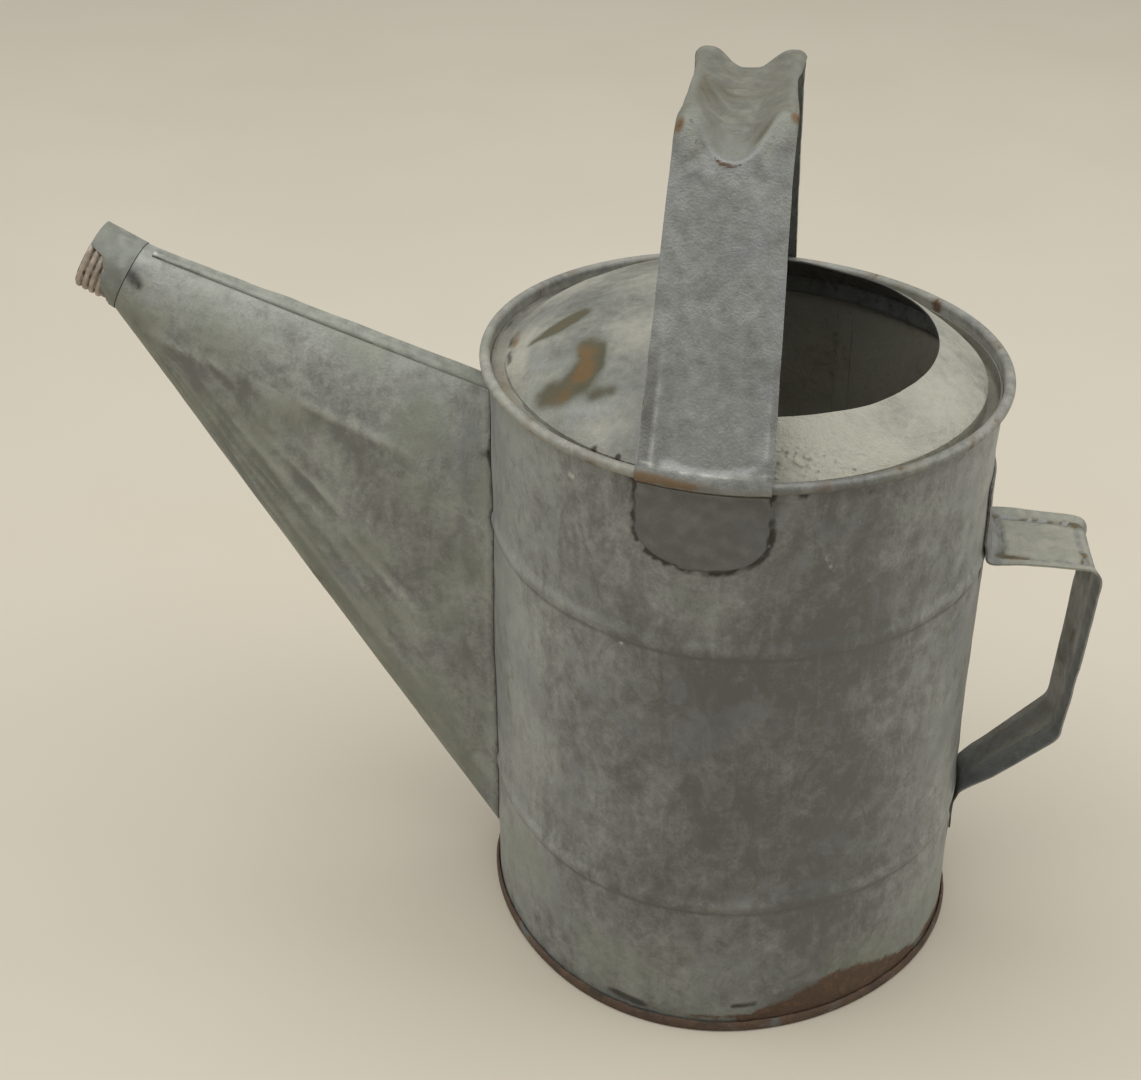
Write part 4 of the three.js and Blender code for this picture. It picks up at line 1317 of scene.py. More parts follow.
@dataclass
class Spout:
    """The flattened spout with its seam, the torn sleeve at its end and the ridged ring in it."""

    top_height: float = 261.4
    bottom_height: float = 23.0
    half_width: float = 23.0
    tip_radius: float = 15.6
    tip: Pair = (264.5, 298.9)
    tilt: float = 28.0
    wall: float = 108.0
    sheet: float = 0.7
    around: int = 190
    rows: int = 130
    collar_radius: float = 15.9
    collar_length: float = 19.0
    tear: tuple[Pair, ...] = ((0, 0), (47, 0), (56, 7.5), (96, 11), (126, 15.5), (180, 15.5))

    crease: tuple[Point, ...] = (
        (-252, -16, 280),
        (-232, -17.5, 270),
        (-208, -18.2, 260),
        (-163, -19.3, 242.5),
        (-142, -19.5, 232.8),
    )
    scores: tuple[tuple[Point, ...], ...] = (
        ((-238.5, -16.5, 264), (-179.9, -18.8, 181.5)),
        ((-226.8, -17.3, 265.5), (-165.9, -20.1, 193)),
        ((-236, -16.8, 252), (-203, -18, 203)),
        ((-212, -18, 228), (-172, -19.5, 160)),
    )

    def skin_at(self, along: Array, angle: Array, inset: Array | float) -> Array:
        """Points of the spout's skin.

        Args:
            along: Share of the length, 0 at the wall and 1 at the round tip.
            angle: Angle from the top in radians.
            inset: How far the point lies inside the outer face.

        Returns:
            The points.
        """
        sine, cosine = math.sin(math.radians(self.tilt)), math.cos(math.radians(self.tilt))
        top_r = lerp(self.wall, self.tip[0] - self.tip_radius * sine, along)
        top_z = lerp(self.top_height, self.tip[1] + self.tip_radius * cosine, along)
        bottom_r = lerp(self.wall, self.tip[0] + self.tip_radius * sine, along)
        bottom_z = lerp(self.bottom_height, self.tip[1] - self.tip_radius * cosine, along)
        height = np.hypot(bottom_r - top_r, bottom_z - top_z)
        crease = height * (1.0 - lerp(0.72, 0.5, np.maximum(along, 0.0) ** 4))
        roof = np.cos(angle) >= 0.0
        blend = np.maximum(along, 0.0) ** 3
        power = 2.0 / np.where(roof, lerp(1.5, 2.0, blend), lerp(3.8, 2.0, blend))
        reach = np.where(roof, crease, height - crease) - inset
        half = lerp(self.half_width, self.tip_radius, along) - inset
        down = crease - np.sign(np.cos(angle)) * reach * np.abs(np.cos(angle)) ** power
        side = half * np.sign(np.sin(angle)) * np.abs(np.sin(angle)) ** power
        return np.stack(
            [
                -(top_r + (bottom_r - top_r) / height * down),
                side,
                top_z + (bottom_z - top_z) / height * down,
            ],
            axis=-1,
        )

    def start_at(self, angle: Array, inset: float) -> Array:
        """The share of the length at which the skin meets the wall, by halving, for some angles.

        Args:
            angle: Angles from the top in radians.
            inset: How far the skin lies inside the outer face.

        Returns:
            One share an angle.
        """
        low = np.full_like(angle, -0.08)
        high = np.full_like(angle, 0.3)
        for _ in range(30):
            middle = (low + high) / 2.0
            points = self.skin_at(middle, angle, inset)
            out = np.hypot(points[..., 0], points[..., 1]) > self.wall + 0.3 + Body().swell(points[..., 2])
            high = np.where(out, middle, high)
            low = np.where(out, low, middle)
        return high

    def angles(self) -> Array:
        """Angles round the spout, closer together at the top and bottom edges."""
        even = np.linspace(-np.pi, np.pi, self.around, endpoint=False)
        return even - 0.32 * np.sin(2.0 * even) / 2.0

    def wrinkles(self, points: Array) -> Array:
        """How far the sides of the spout are pressed out or in at some points.

        Args:
            points: The points.

        Returns:
            The move of each point.
        """
        near = np.where(points[..., 1] < 0.0, 1.0, 0.0)
        lines = (
            Trail(self.crease, 2.0, 0.8),
            Trail(((-242, -16, 270), (-215, -17.5, 258), (-180, -19, 243)), 2.6, -0.45),
            Trail(((-186, -19, 244), (-160, -20, 215), (-138, -21.5, 180)), 4.2, -0.4),
            Trail(((-261, -13.3, 306), (-256, -14, 301)), 4.0, -1.3),
        )
        far = SoftNoise(72, 38.0).at(points) * 0.25 + self.fan(points) * 0.16
        both = SoftNoise(71, 60.0).at(points) * 0.22 + SoftNoise(73, 14.0).at(points) * 0.07
        return both + near * (trails(points, lines) + 0.30 * self.fan(points)) + (1.0 - near) * far

    def fan(self, points: Array) -> Array:
        """Long fine creases that spread from the tip over the lower sides, about -1 to 1.

        Args:
            points: The points.

        Returns:
            One number a point.
        """
        across = points[..., 0] + 270.0
        below = 302.0 - points[..., 2]
        turn = np.degrees(np.arctan2(below, np.maximum(across, 1.0)))
        reach = np.hypot(across, below)
        flat = np.stack([turn * 2.6, reach * 0.07, points[..., 1] * 0.05], axis=-1)
        lines = SoftNoise(79, 6.0).at(flat) * 0.55 + SoftNoise(80, 2.8).at(flat) * 0.65
        fade = 1.0 - 0.6 * ramp(reach, 150.0, 260.0)
        return lines * ramp(turn, 26.0, 40.0) * ramp(reach, 25.0, 60.0) * fade

    def build_shell(self, finish: bpy.types.Material) -> bpy.types.Object:
        """Makes the spout's tapering sheet and the folded band of its seam.

        Args:
            finish: Its finish.

        Returns:
            The spout's sheet.
        """
        angles = self.angles()
        shares = np.linspace(0.0, 1.0, self.rows) ** 1.05
        grids = []
        for inset in (0.0, self.sheet):
            start = self.start_at(angles, inset)
            along = start[None] + (1.0 - start[None]) * shares[:, None]
            grids.append(self.skin_at(along, np.broadcast_to(angles, along.shape), inset))
        outer, inner = grids
        normals = grid_normals(outer)
        if float((normals[10, :, 1] * outer[10, :, 1]).sum()) < 0.0:
            normals = -normals
        fade = (ramp(shares, 0.0, 0.06) * (1.0 - ramp(shares, 0.965, 1.0)))[:, None]
        flank = np.minimum(ramp(np.abs(angles), 0.35, 0.9), 1.0 - ramp(np.abs(angles), 2.2, 2.75))
        press = self.wrinkles(outer) * fade * (0.15 + 0.85 * flank[None])
        outer = outer + normals * press[..., None]
        inner = inner + normals * press[..., None]
        skin = Skin.between(outer, inner, True)
        count = outer.shape[0] * outer.shape[1]
        self.mark_shell(skin, both_faces(shares, len(angles)), count)
        whole = skin.with_skin(self.seam_band())
        whole.points = KNOCKS.move(whole.points)
        piece = whole.make("spout_sheet", finish, 50.0)
        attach(piece, "root")
        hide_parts("spout_shell")
        return piece

    def seam_band(self) -> Skin:
        """The folded seam along the top of the spout.

        Returns:
            The band's skin, with its marks.
        """
        sides = np.array([1.6, 1.45, 1.0, 0.0, -1.0, -2.0, -3.0, -3.9, -4.35, -4.55])
        lifts = np.array([0.3, 0.9, 1.1, 1.12, 1.1, 1.05, 1.08, 1.1, 0.85, 0.25])
        start = self.start_at(np.array([0.0]), 0.0)[0] + 0.004
        end = 0.968
        along = np.repeat(np.linspace(start, end, 150)[:, None], len(sides), axis=1)
        half = lerp(self.half_width, self.tip_radius, along)
        power = lerp(1.5, 2.0, np.maximum(along, 0.0) ** 3) / 2.0
        angle = np.sign(sides) * np.arcsin(np.clip(np.abs(sides) / half, 0.0, 1.0) ** power)
        flat = self.skin_at(along, angle, 0.0)
        wobble = 1.0 + 0.10 * SoftNoise(75, 22.0).at(flat)
        outer = self.skin_at(along, angle, -lifts * wobble)
        inner = self.skin_at(along, angle, 0.35)
        band = Skin.between(outer, inner, False)
        points = band.points
        small = SoftNoise(76, 8.0).at(points)
        columns = np.tile(sides, outer.shape[0] * 2)
        edge = hump(columns, -3.9, 0.6) + hump(columns, 1.2, 0.5)
        base = hump(columns, -4.6, 0.3) + hump(columns, 1.6, 0.25)
        middle = hump(columns, -1.6, 0.8)
        tip = Trail(((-253, -4, 311), (-249, 0, 311)), 3.0, 1.0).at(points)
        band.mark(
            LIGHT_AND_TONE=0.10 + 0.15 * small - 0.3 * middle,
            WEAR_AND_HIGHLIGHT=0.3 * edge + Trail(((-252.7, -3.2, 310.7),), 1.4, 1.3).at(points),
            GRIME_AND_SHADE=0.55 * base + 0.25 * tip + 0.18 * middle * (1.0 + small),
            DUST_AND_LIGHT=0.2,
            OCHRE=0.25 * middle + 0.2 * base,
            RUST=0.15 * base * (1.0 + small),
            GREEN=0.5,
        )
        return band

    def mark_shell(self, skin: Skin, along: Array, outer_count: int) -> None:
        """Paints the dark joint, spots and stains of the spout, with painted light and shade: a lighter roof,
        a darker underside, a highlight along the crease with shade below it, and light and dark lines along
        the creases.

        Args:
            skin: The spout's skin.
            along: Each point's share of the length.
            outer_count: How many points its outer face has.
        """
        points = skin.points
        outer = skin.first(outer_count)
        wide = SoftNoise(77, 46.0).at(points)
        small = SoftNoise(78, 11.0).at(points)
        near = (points[:, 1] < 0.0).astype(float)
        # Painted highlight along the crease, and painted shade in a band below it.
        crease = Trail(self.crease, 1.3).at(points) * near
        shade = Trail(tuple((x + 3.0, y, z - 7.0) for x, y, z in self.crease), 4.0).at(points) * near
        # Painted shade: dark lines along the scored creases.
        scored = trails(points, [Trail(line, 0.9, 0.7) for line in self.scores]) * near
        joint = 1.0 - ramp(along, 0.003, 0.012)
        solder = hump(along, 0.02, 0.006)
        beyond = -points[:, 0] - self.wall
        edge_height = self.bottom_height + beyond * (281.0 - self.bottom_height) / 156.0
        above = points[:, 2] - edge_height
        # Painted shade: the underside is darker, with a green stain over it.
        low = (1.0 - ramp(above, 6.0, 40.0)) * ramp(along, 0.02, 0.1)
        # Painted light: the roof, which faces up, is lighter, and the near side below it darker.
        top_height = self.top_height + beyond * 0.338
        roof = 1.0 - ramp(top_height - points[:, 2], 12.0, 42.0)
        # Painted light and shade along the fine creases of the lower sides.
        fan = self.fan(points)
        spots = trails(points, (Trail(((-110, -16, 232),), 2.2, 1.0), Trail(((-110, -22, 190),), 1.6, 0.6)))
        dent = Trail(((-262, -12, 308), (-257, -14, 301)), 2.4, 1.0).at(points)
        skin.mark(
            LIGHT_AND_TONE=outer * (0.10 * wide + 0.08 * small + 0.20 * roof - 0.16 * low + 0.3 * solder + 0.8 * crease)
            + outer * (0.30 * fan - 0.3 * shade - 0.12 * near * (1.0 - roof) - 0.8 * scored),
            WEAR_AND_HIGHLIGHT=outer * (0.32 * crease + 0.1 * solder),
            GRIME_AND_SHADE=outer * (0.6 * joint + 0.10 * low + spots * 0.7 + 0.75 * dent + 0.2 * scored)
            + (1.0 - outer) * 0.6,
            RUST=outer * (0.35 * joint + 0.5 * spots) + (1.0 - outer) * 0.35,
            DUST_AND_LIGHT=outer * (0.05 + 0.16 * roof),
            OCHRE=outer * (0.2 * Trail(((-209, -11, 286),), 7.0, 1.0).at(points) + 0.45 * joint),
            STAIN=outer * 0.16 * low * (1.0 + wide),
            GREEN=outer * (0.30 + 0.45 * low + 0.2 * wide),
        )

    def at_tip(self, points: Array) -> Array:
        """Places points made along +Z at the spout's tip, along its axis.

        Args:
            points: The points.

        Returns:
            The placed points.
        """
        turn = math.radians(self.tilt - 90.0)
        placed = points.copy()
        placed[..., 0] = points[..., 0] * math.cos(turn) + points[..., 2] * math.sin(turn) - self.tip[0]
        placed[..., 2] = -points[..., 0] * math.sin(turn) + points[..., 2] * math.cos(turn) + self.tip[1]
        return placed

    def build_collar(self, finish: bpy.types.Material) -> bpy.types.Object:
        """Makes the sleeve at the end of the spout, torn away below.

        Args:
            finish: Its finish.

        Returns:
            The sleeve.
        """
        angles = np.linspace(0.0, 360.0, 200, endpoint=False)
        from_top = np.minimum(angles, 360.0 - angles)
        torn = np.interp(from_top, [a for a, _ in self.tear], [t for _, t in self.tear])
        ragged = ramp(from_top, 55.0, 70.0)
        jag = SoftNoise(81, 4.0).at(np.stack([angles * 0.28, angles * 0.0, angles * 0.0], axis=-1))
        length = np.clip(self.collar_length - torn + jag * (0.12 + 0.45 * ragged), 1.2, self.collar_length)
        shares = np.linspace(0.0, 1.0, 26)
        height = 0.3 + shares[:, None] * (length - 0.3)
        faces = []
        for radius in (self.collar_radius, self.collar_radius - self.sheet):
            grid = revolve(radius, height, np.radians(angles))
            dent = SoftNoise(82, 16.0).at(grid) * 0.10 * shares[:, None]
            bent = 0.35 * ragged * shares[:, None] ** 3
            scale = 1.0 + (np.minimum(dent, 0.0) - bent * 0.3) / radius
            grid[..., :2] *= scale[..., None]
            faces.append(grid)
        skin = Skin.between(faces[0], faces[1], True)
        along = both_faces(shares, len(angles))
        outer = skin.first(len(shares) * len(angles))
        small = SoftNoise(83, 7.0).at(skin.points)
        tear = np.tile(ragged, len(shares) * 2) * ramp(along, 0.75, 1.0)
        top = np.tile(1.0 - ramp(from_top, 30.0, 90.0), len(shares) * 2)
        skin.mark(
            LIGHT_AND_TONE=outer * (-0.40 + 0.15 * small),
            WEAR_AND_HIGHLIGHT=outer * 0.15 * ramp(along, 0.93, 1.0),
            DUST_AND_LIGHT=outer * 0.12 * top,
            GREEN=outer * 0.6,
            RUST=0.35 * tear + (1.0 - outer) * 0.4,
            GRIME_AND_SHADE=outer * 0.2 * (1.0 - ramp(along, 0.0, 0.07)) + 0.35 * tear + (1.0 - outer) * 0.5,
        )
        skin.points = self.at_tip(skin.points)
        piece = skin.make("spout_sleeve", finish)
        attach(piece, "root")
        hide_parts("spout_collar")
        return piece

    def build_ring(self, finish: bpy.types.Material) -> bpy.types.Object:
        """Makes the ridged ring in the sleeve.

        Args:
            finish: Its finish.

        Returns:
            The ring.
        """
        length, pitch, root, rise, bore = 19.5, 3.0, 14.0, 0.9, 11.5
        heights = np.linspace(0.3, length, 90)
        first = length - 4.0 * pitch
        share = ((heights - first) / pitch) % 1.0
        ridge = ramp(share, 0.05, 0.38) * (1.0 - ramp(share, 0.72, 0.98)) * (heights > first)
        outside = [(root + rise * float(lift), float(z)) for z, lift in zip(heights, ridge)]
        front = [(root - 0.35, length), (12.6, length), (11.9, length - 0.1), (bore, length - 0.5)]
        inside = [(bore, float(z)) for z in np.linspace(length - 1.5, 0.3, 14)]
        profile = np.array(outside + front + inside)
        angles = np.radians(np.linspace(0.0, 360.0, 150, endpoint=False))
        grid = revolve(profile[:, :1], profile[:, 1:], angles)
        bruise = SoftNoise(85, 7.0).at(grid) * 0.10 + SoftNoise(86, 3.0).at(grid) * 0.05
        grid[..., :2] *= 1.0 + (np.minimum(bruise, -0.01) / 14.0)[..., None]
        skin = Skin.ring(grid)
        groove = np.repeat(np.concatenate([1.0 - ridge, np.zeros(4), np.full(14, 1.3)]), len(angles))
        small = SoftNoise(87, 5.0).at(skin.points)
        skin.mark(GRIME_AND_SHADE=0.58 * groove + 0.10 * small, LIGHT_AND_TONE=0.1 * small)
        skin.points = self.at_tip(skin.points)
        piece = skin.make("nozzle_ring_ridged", finish, 60.0)
        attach(piece, "root")
        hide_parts("nozzle_ring")
        return piece


@dataclass
class TopHandle:
    """The wide strap over the can, with a trough along its crown and a tab at each foot."""

    thickness: float = 0.9
    offset: float = -8.6
    tab_radius: float = 108.75
    tab_bottom: float = 239.5
    tab_round: float = 14.5
    foot_width: float = 51.6
    horn: float = 19.8
    lip: float = 60.5
    crown_height: float = 397.42
    step: float = 1.05

    def half_path(self) -> Array:
        """Half of the strap's middle line as rows of (reach, height, width, lean).

        Returns:
            The rows, from the tab to the middle of the crown.
        """
        rows: list[tuple[float, float, float, float]] = []
        for share in (0.0, 0.01, 0.025, 0.045, 0.07, 0.1, 0.15, 0.22, 0.32, 0.45, 0.6, 0.8, 1.0):
            width = max(16.0, self.foot_width * math.sqrt(1.0 - (1.0 - share) ** 2))
            rows.append((self.tab_radius, self.tab_bottom + share * self.tab_round, width, 0.0))
        foot = arc((109.6, 277.7), 3.05, even_steps(-55.0, 35.0, 10))
        tuck = foot[0][1] - (foot[0][0] - self.tab_radius) / 2.0
        rows.append((self.tab_radius, tuck, self.foot_width, 0.0))
        rows += [(reach, height, self.foot_width, 0.0) for reach, height in foot]
        leave = rows[-1]
        bend = (49.0, 388.0, 44.6, 2.4)
        shoulder = (38.0, self.crown_height, 44.2, 3.3)
        for share in (0.08, 0.2, 0.4, 0.65, 0.85):
            rows.append(tuple(lerp(a, b, share) for a, b in zip(leave, bend)))
        first = tuple(lerp(b, a, 0.06) for a, b in zip(leave, bend))
        pull = (bend[0] - (shoulder[1] - bend[1]) / 2.0, shoulder[1])
        for share in even_steps(0.0, 1.0, 9):
            turn = bend_at(np.array(first[:2]), np.array(pull), np.array(shoulder[:2]), share)
            width, lean = (lerp(first[k], shoulder[k], share) for k in (2, 3))
            rows.append((float(turn[0]), float(turn[1]), width, lean))
        rows += [(20.0, self.crown_height, 41.9, 3.3), (0.0, self.crown_height, 40.0, 3.3)]
        return np.array(rows)

    def drop(self, x: Array, half: Array, crown: Array, leg: Array) -> Array:
        """How far the strap's sides lie below its highest line.

        Args:
            x: Distance across the strap from its middle line.
            half: Half of the strap's width.
            crown: How far the section is that of the crown, from 0 to 1.
            leg: How far it is that of a leg.

        Returns:
            The drop, softened across the strap.
        """
        edge_start = lerp(half - 8.0, self.horn, crown)
        edge = np.maximum(np.abs(x) - edge_start, 0.0) / np.maximum(half - edge_start, 1.0)
        fall = lerp(3.2, 2.6, crown) * edge ** lerp(1.0, 1.6, crown) * np.maximum(leg, crown)
        return relax(fall.T, 2).T

    def trough(self, x: Array, from_middle: Array) -> Array:
        """How far the trough along the crown is pressed in.

        Args:
            x: Distance across the strap from its middle line.
            from_middle: Distance along the strap from the middle of the crown.

        Returns:
            The depth, with the curved wrinkles of the bent sheet.
        """
        room = lerp(20.0, 16.5, ramp(from_middle, 22.0, 50.0))
        bowl = 1.0 - ramp(np.abs(x) / room, 0.16, 1.0)
        inside = self.inside_lip(x, from_middle)
        depth = 2.6 * ramp(inside, -0.6, 3.4) + 5.2 * ramp(inside, 1.0, 17.0) - 1.5 * ramp(inside, 16.0, 46.0)
        folds = 0.24 * self.folds(x, inside) * ramp(inside, 2.0, 8.0)
        return relax((bowl * (depth + folds)).T, 2).T

    def folds(self, x: Array, inside: Array) -> Array:
        """The curved wrinkles of the trough, about zero."""
        return SoftNoise(97, 6.5).at(np.stack([inside, x * 0.16, x * 0.0], axis=-1))

    def inside_lip(self, x: Array, from_middle: Array) -> Array:
        """How far a place lies inside the trough's U-shaped lip, along the strap."""
        return self.lip - 20.0 * np.minimum(np.abs(x) / 16.0, 1.3) ** 2.2 - from_middle

    def build(self, finish: bpy.types.Material) -> bpy.types.Object:
        """Makes the strap from tab to tab.

        Args:
            finish: Its finish.

        Returns:
            The strap.
        """
        half = self.half_path()
        left = half * np.array([-1.0, 1.0, 1.0, 1.0])
        right = half[::-1][1:]
        path = resample(np.concatenate([left, right]), self.step)
        ends = path[[0, -1], 1].copy()
        path = relax(path, 2)
        path[[0, -1], 1] = ends
        columns = np.sort(np.concatenate([np.linspace(-1.0, 1.0, 53), [-0.985, 0.985]]))
        across, height, width, lean = (path[:, k : k + 1] for k in range(4))
        tangent = tangents(path)
        normal = np.stack([-tangent[:, 1], tangent[:, 0]], axis=1)
        wrap = 1.0 - ramp(height, 280.0, 325.0)
        crown = ramp(height, 370.0, self.crown_height)
        leg = ramp(height, 281.5, 298.0)
        x = columns[None] * width / 2.0
        on_can = x + self.offset + lean
        reach = np.abs(across)
        along = np.concatenate([[0.0], np.cumsum(np.hypot(*np.diff(path[:, :2], axis=0).T))])
        from_middle = np.abs(along - along[-1] / 2.0)[:, None]
        drop = self.drop(x, np.broadcast_to(width / 2.0, x.shape), crown, leg)
        trough = self.trough(x, np.broadcast_to(from_middle, x.shape))
        soft = relax(normal, 110)
        soft /= np.linalg.norm(soft, axis=1, keepdims=True)
        dish = ramp(height - 4.0 * columns[None] ** 2, 281.4, 284.4) * (1.0 - ramp(height, 300.0, 335.0))
        drop = drop + 1.3 * dish * (1.0 - ramp(np.abs(columns[None] - 0.05), 0.62, 0.78))
        sag = np.where(wrap > 0.0, (reach - np.sqrt(np.maximum(reach**2 - on_can**2, 0.0))) * wrap, 0.0)
        grid = np.zeros((len(path), len(columns), 3))
        grid[..., 0] = on_can
        grid[..., 1] = np.sign(across) * (reach - sag) - normal[:, :1] * drop - soft[:, :1] * trough
        grid[..., 2] = height - normal[:, 1:] * drop - soft[:, 1:] * trough
        grid = self.hammered(grid, wrap, crown)
        inward = grid_normals(grid)
        skin = Skin.between(grid - inward * self.thickness / 2.0, grid + inward * self.thickness / 2.0, False)
        self.mark(skin, columns, path, from_middle[:, 0])
        skin.points = KNOCKS.move(skin.points)
        piece = skin.make("top_strap", finish, 55.0)
        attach(piece, "root")
        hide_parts("top_handle")
        return piece

    def hammered(self, grid: Array, wrap: Array, crown: Array) -> Array:
        """Puts small dents and knocks into the strap.

        Args:
            grid: Points of the strap's middle sheet.
            wrap: How far each row lies against the can, from 0 to 1.
            crown: How far each row is the crown's, from 0 to 1.

        Returns:
            The moved points.
        """
        free = 1.0 - wrap * 0.85
        dents = 0.28 * SoftNoise(91, 34.0).at(grid) + 0.12 * SoftNoise(92, 11.0).at(grid)
        knocks = trails(
            grid,
            (
                Trail(((8, -30, 392),), 6.0, 0.4),
                Trail(((-20, 22, 392),), 7.0, 0.6),
            ),
        )
        moved = grid.copy()
        moved += grid_normals(grid) * np.maximum(dents * free * 0.6, 0.0)[..., None]
        moved[..., 2] -= knocks * crown
        return moved

    def mark(self, skin: Skin, columns: Array, path: Array, from_middle: Array) -> None:
        """Paints dust in the trough, rusty edges and dirt at the feet, with painted highlights on the ridges,
        the lip and the bend over the rim, painted shade on the bevels, and painted light and shade along the
        trough's wrinkles.

        Args:
            skin: The strap's skin.
            columns: Places across the strap, from -1 to 1.
            path: The strap's middle line.
            from_middle: Each row's distance along the strap from the middle of the crown.
        """
        points = skin.points
        rows = len(path)
        outer = skin.first(rows * len(columns))
        signed = np.tile(columns, rows * 2)
        height = both_faces(path[:, 1], len(columns))
        away = both_faces(from_middle, len(columns))
        x = signed * both_faces(path[:, 2], len(columns)) / 2.0
        wide = SoftNoise(95, 36.0).at(points)
        small = SoftNoise(96, 9.0).at(points)
        crown = ramp(height, 380.0, 396.0)
        inside = self.inside_lip(x, away)
        trough = ramp(inside, -1.0, 4.0) * (1.0 - ramp(np.abs(x), 15.5, 20.0)) * outer
        lip_line = hump(inside, -1.0, 1.0) * (1.0 - ramp(np.abs(x + 1.0), 4.0, 8.0)) * outer
        # Painted highlight just inside the trough's lip.
        lip_light = hump(inside, 1.4, 1.6) * (1.0 - ramp(np.abs(x), 12.0, 16.0)) * outer
        # Painted light and shade along the trough's wrinkles.
        fold = self.folds(x, inside) * trough
        shoulder = hump(inside, -9.0, 8.0) * ramp(np.abs(x), 4.0, 12.0) * outer
        low_leg = ramp(height, 280.8, 282.5) * (1.0 - ramp(height, 298.0, 330.0))
        # Painted highlights along the ridges of the leg, and painted shade on the bevels outside them.
        ridge = hump(signed, -0.77, 0.030) + 0.55 * hump(signed, 0.88, 0.025)
        ridge = ridge * low_leg * (0.8 + 0.3 * small)
        bevel = ramp(-signed, 0.80, 0.84) * (1.0 - ramp(-signed, 0.96, 1.0))
        bevel = (bevel + 0.5 * ramp(signed, 0.9, 0.94)) * low_leg
        edge = ramp(np.abs(signed), 0.955, 1.0)
        foot = hump(height, 274.8, 1.3)
        tab = (1.0 - ramp(height, 272.5, 275.5)) * outer
        # A dark line round the tab: dirt, and painted shadow of the gap between the strap and the wall.
        around = Trail(tab_outline(), 1.2, 1.0).at(near_side(points)) * tab * (0.85 + 0.3 * small)
        under = hump(height, 275.3, 0.8) * outer
        band = hump(height, 278.2, 2.8) * outer
        orange = hump(height, 277.8, 2.5) * outer * (1.0 - ramp(signed, -0.7, 0.6)) * (1 + 0.15 * small)
        # Painted highlight on the bend where the strap rises from the rim.
        rim_highlight = hump(height - 1.4 * signed**2, 282.0, 0.75) * outer * (0.9 + 0.35 * small)
        brown = hump(away, 47.0, 3.6) * hump(signed, -0.93, 0.10)
        brown = brown + hump(away, 41.0, 3.4) * hump(signed, 0.95, 0.09)
        brown = brown + 0.7 * hump(away, 33.0, 2.0) * hump(signed, 0.84, 0.07)
        skin.mark(
            LIGHT_AND_TONE=0.06 * wide + 0.10 * small
            + outer * (0.9 * ridge - 0.3 * bevel + 1.0 * rim_highlight + 0.2 * lip_light + 0.3 * fold)
            + outer * (0.25 * shoulder * small + 0.35 * trough + 0.06 * crown)
            - (1.0 - outer) * 0.3 - 0.40 * tab * (1.0 - 0.15 * small),
            # Plain darkening of the tab, the trough and the crown; painted shade on the bevels.
            SHADE=0.48 * tab + outer * (0.35 * bevel + 0.34 * trough + 0.28 * crown),
            WEAR_AND_HIGHLIGHT=outer * (0.5 * ridge + 0.10 * edge + 0.6 * rim_highlight + 0.10 * lip_light),
            DUST_AND_LIGHT=outer * (0.16 * trough + 0.12 * crown + 0.14 * shoulder + 0.25 * band - 0.1 * tab)
            + 0.05 * lip_light,
            RUST=0.20 * edge * (1.0 + small) + 0.5 * foot + 0.9 * lip_line + (1.0 - outer) * 0.12
            + 0.45 * brown + 0.4 * under,
            GRIME_AND_SHADE=0.6 * foot + 0.12 * edge + (1.0 - outer) * 0.4 + 0.2 * lip_line + 1.3 * around
            + 0.85 * under + 0.60 * shoulder * ramp(SoftNoise(98, 3.6).at(points), 0.5, 1.6),
            OCHRE=outer * (0.80 * orange + 0.26 * band + 0.9 * brown)
            + outer * (0.10 * trough * (1.0 + 0.3 * wide) + 0.06 * crown),
            STAIN=outer * (0.16 * trough * (1.0 + wide) + 0.4 * brown + 0.14 * fold + 0.10 * crown),
            GREEN=outer * (0.75 * trough + 0.5 * crown + 0.3 * shoulder),
        )


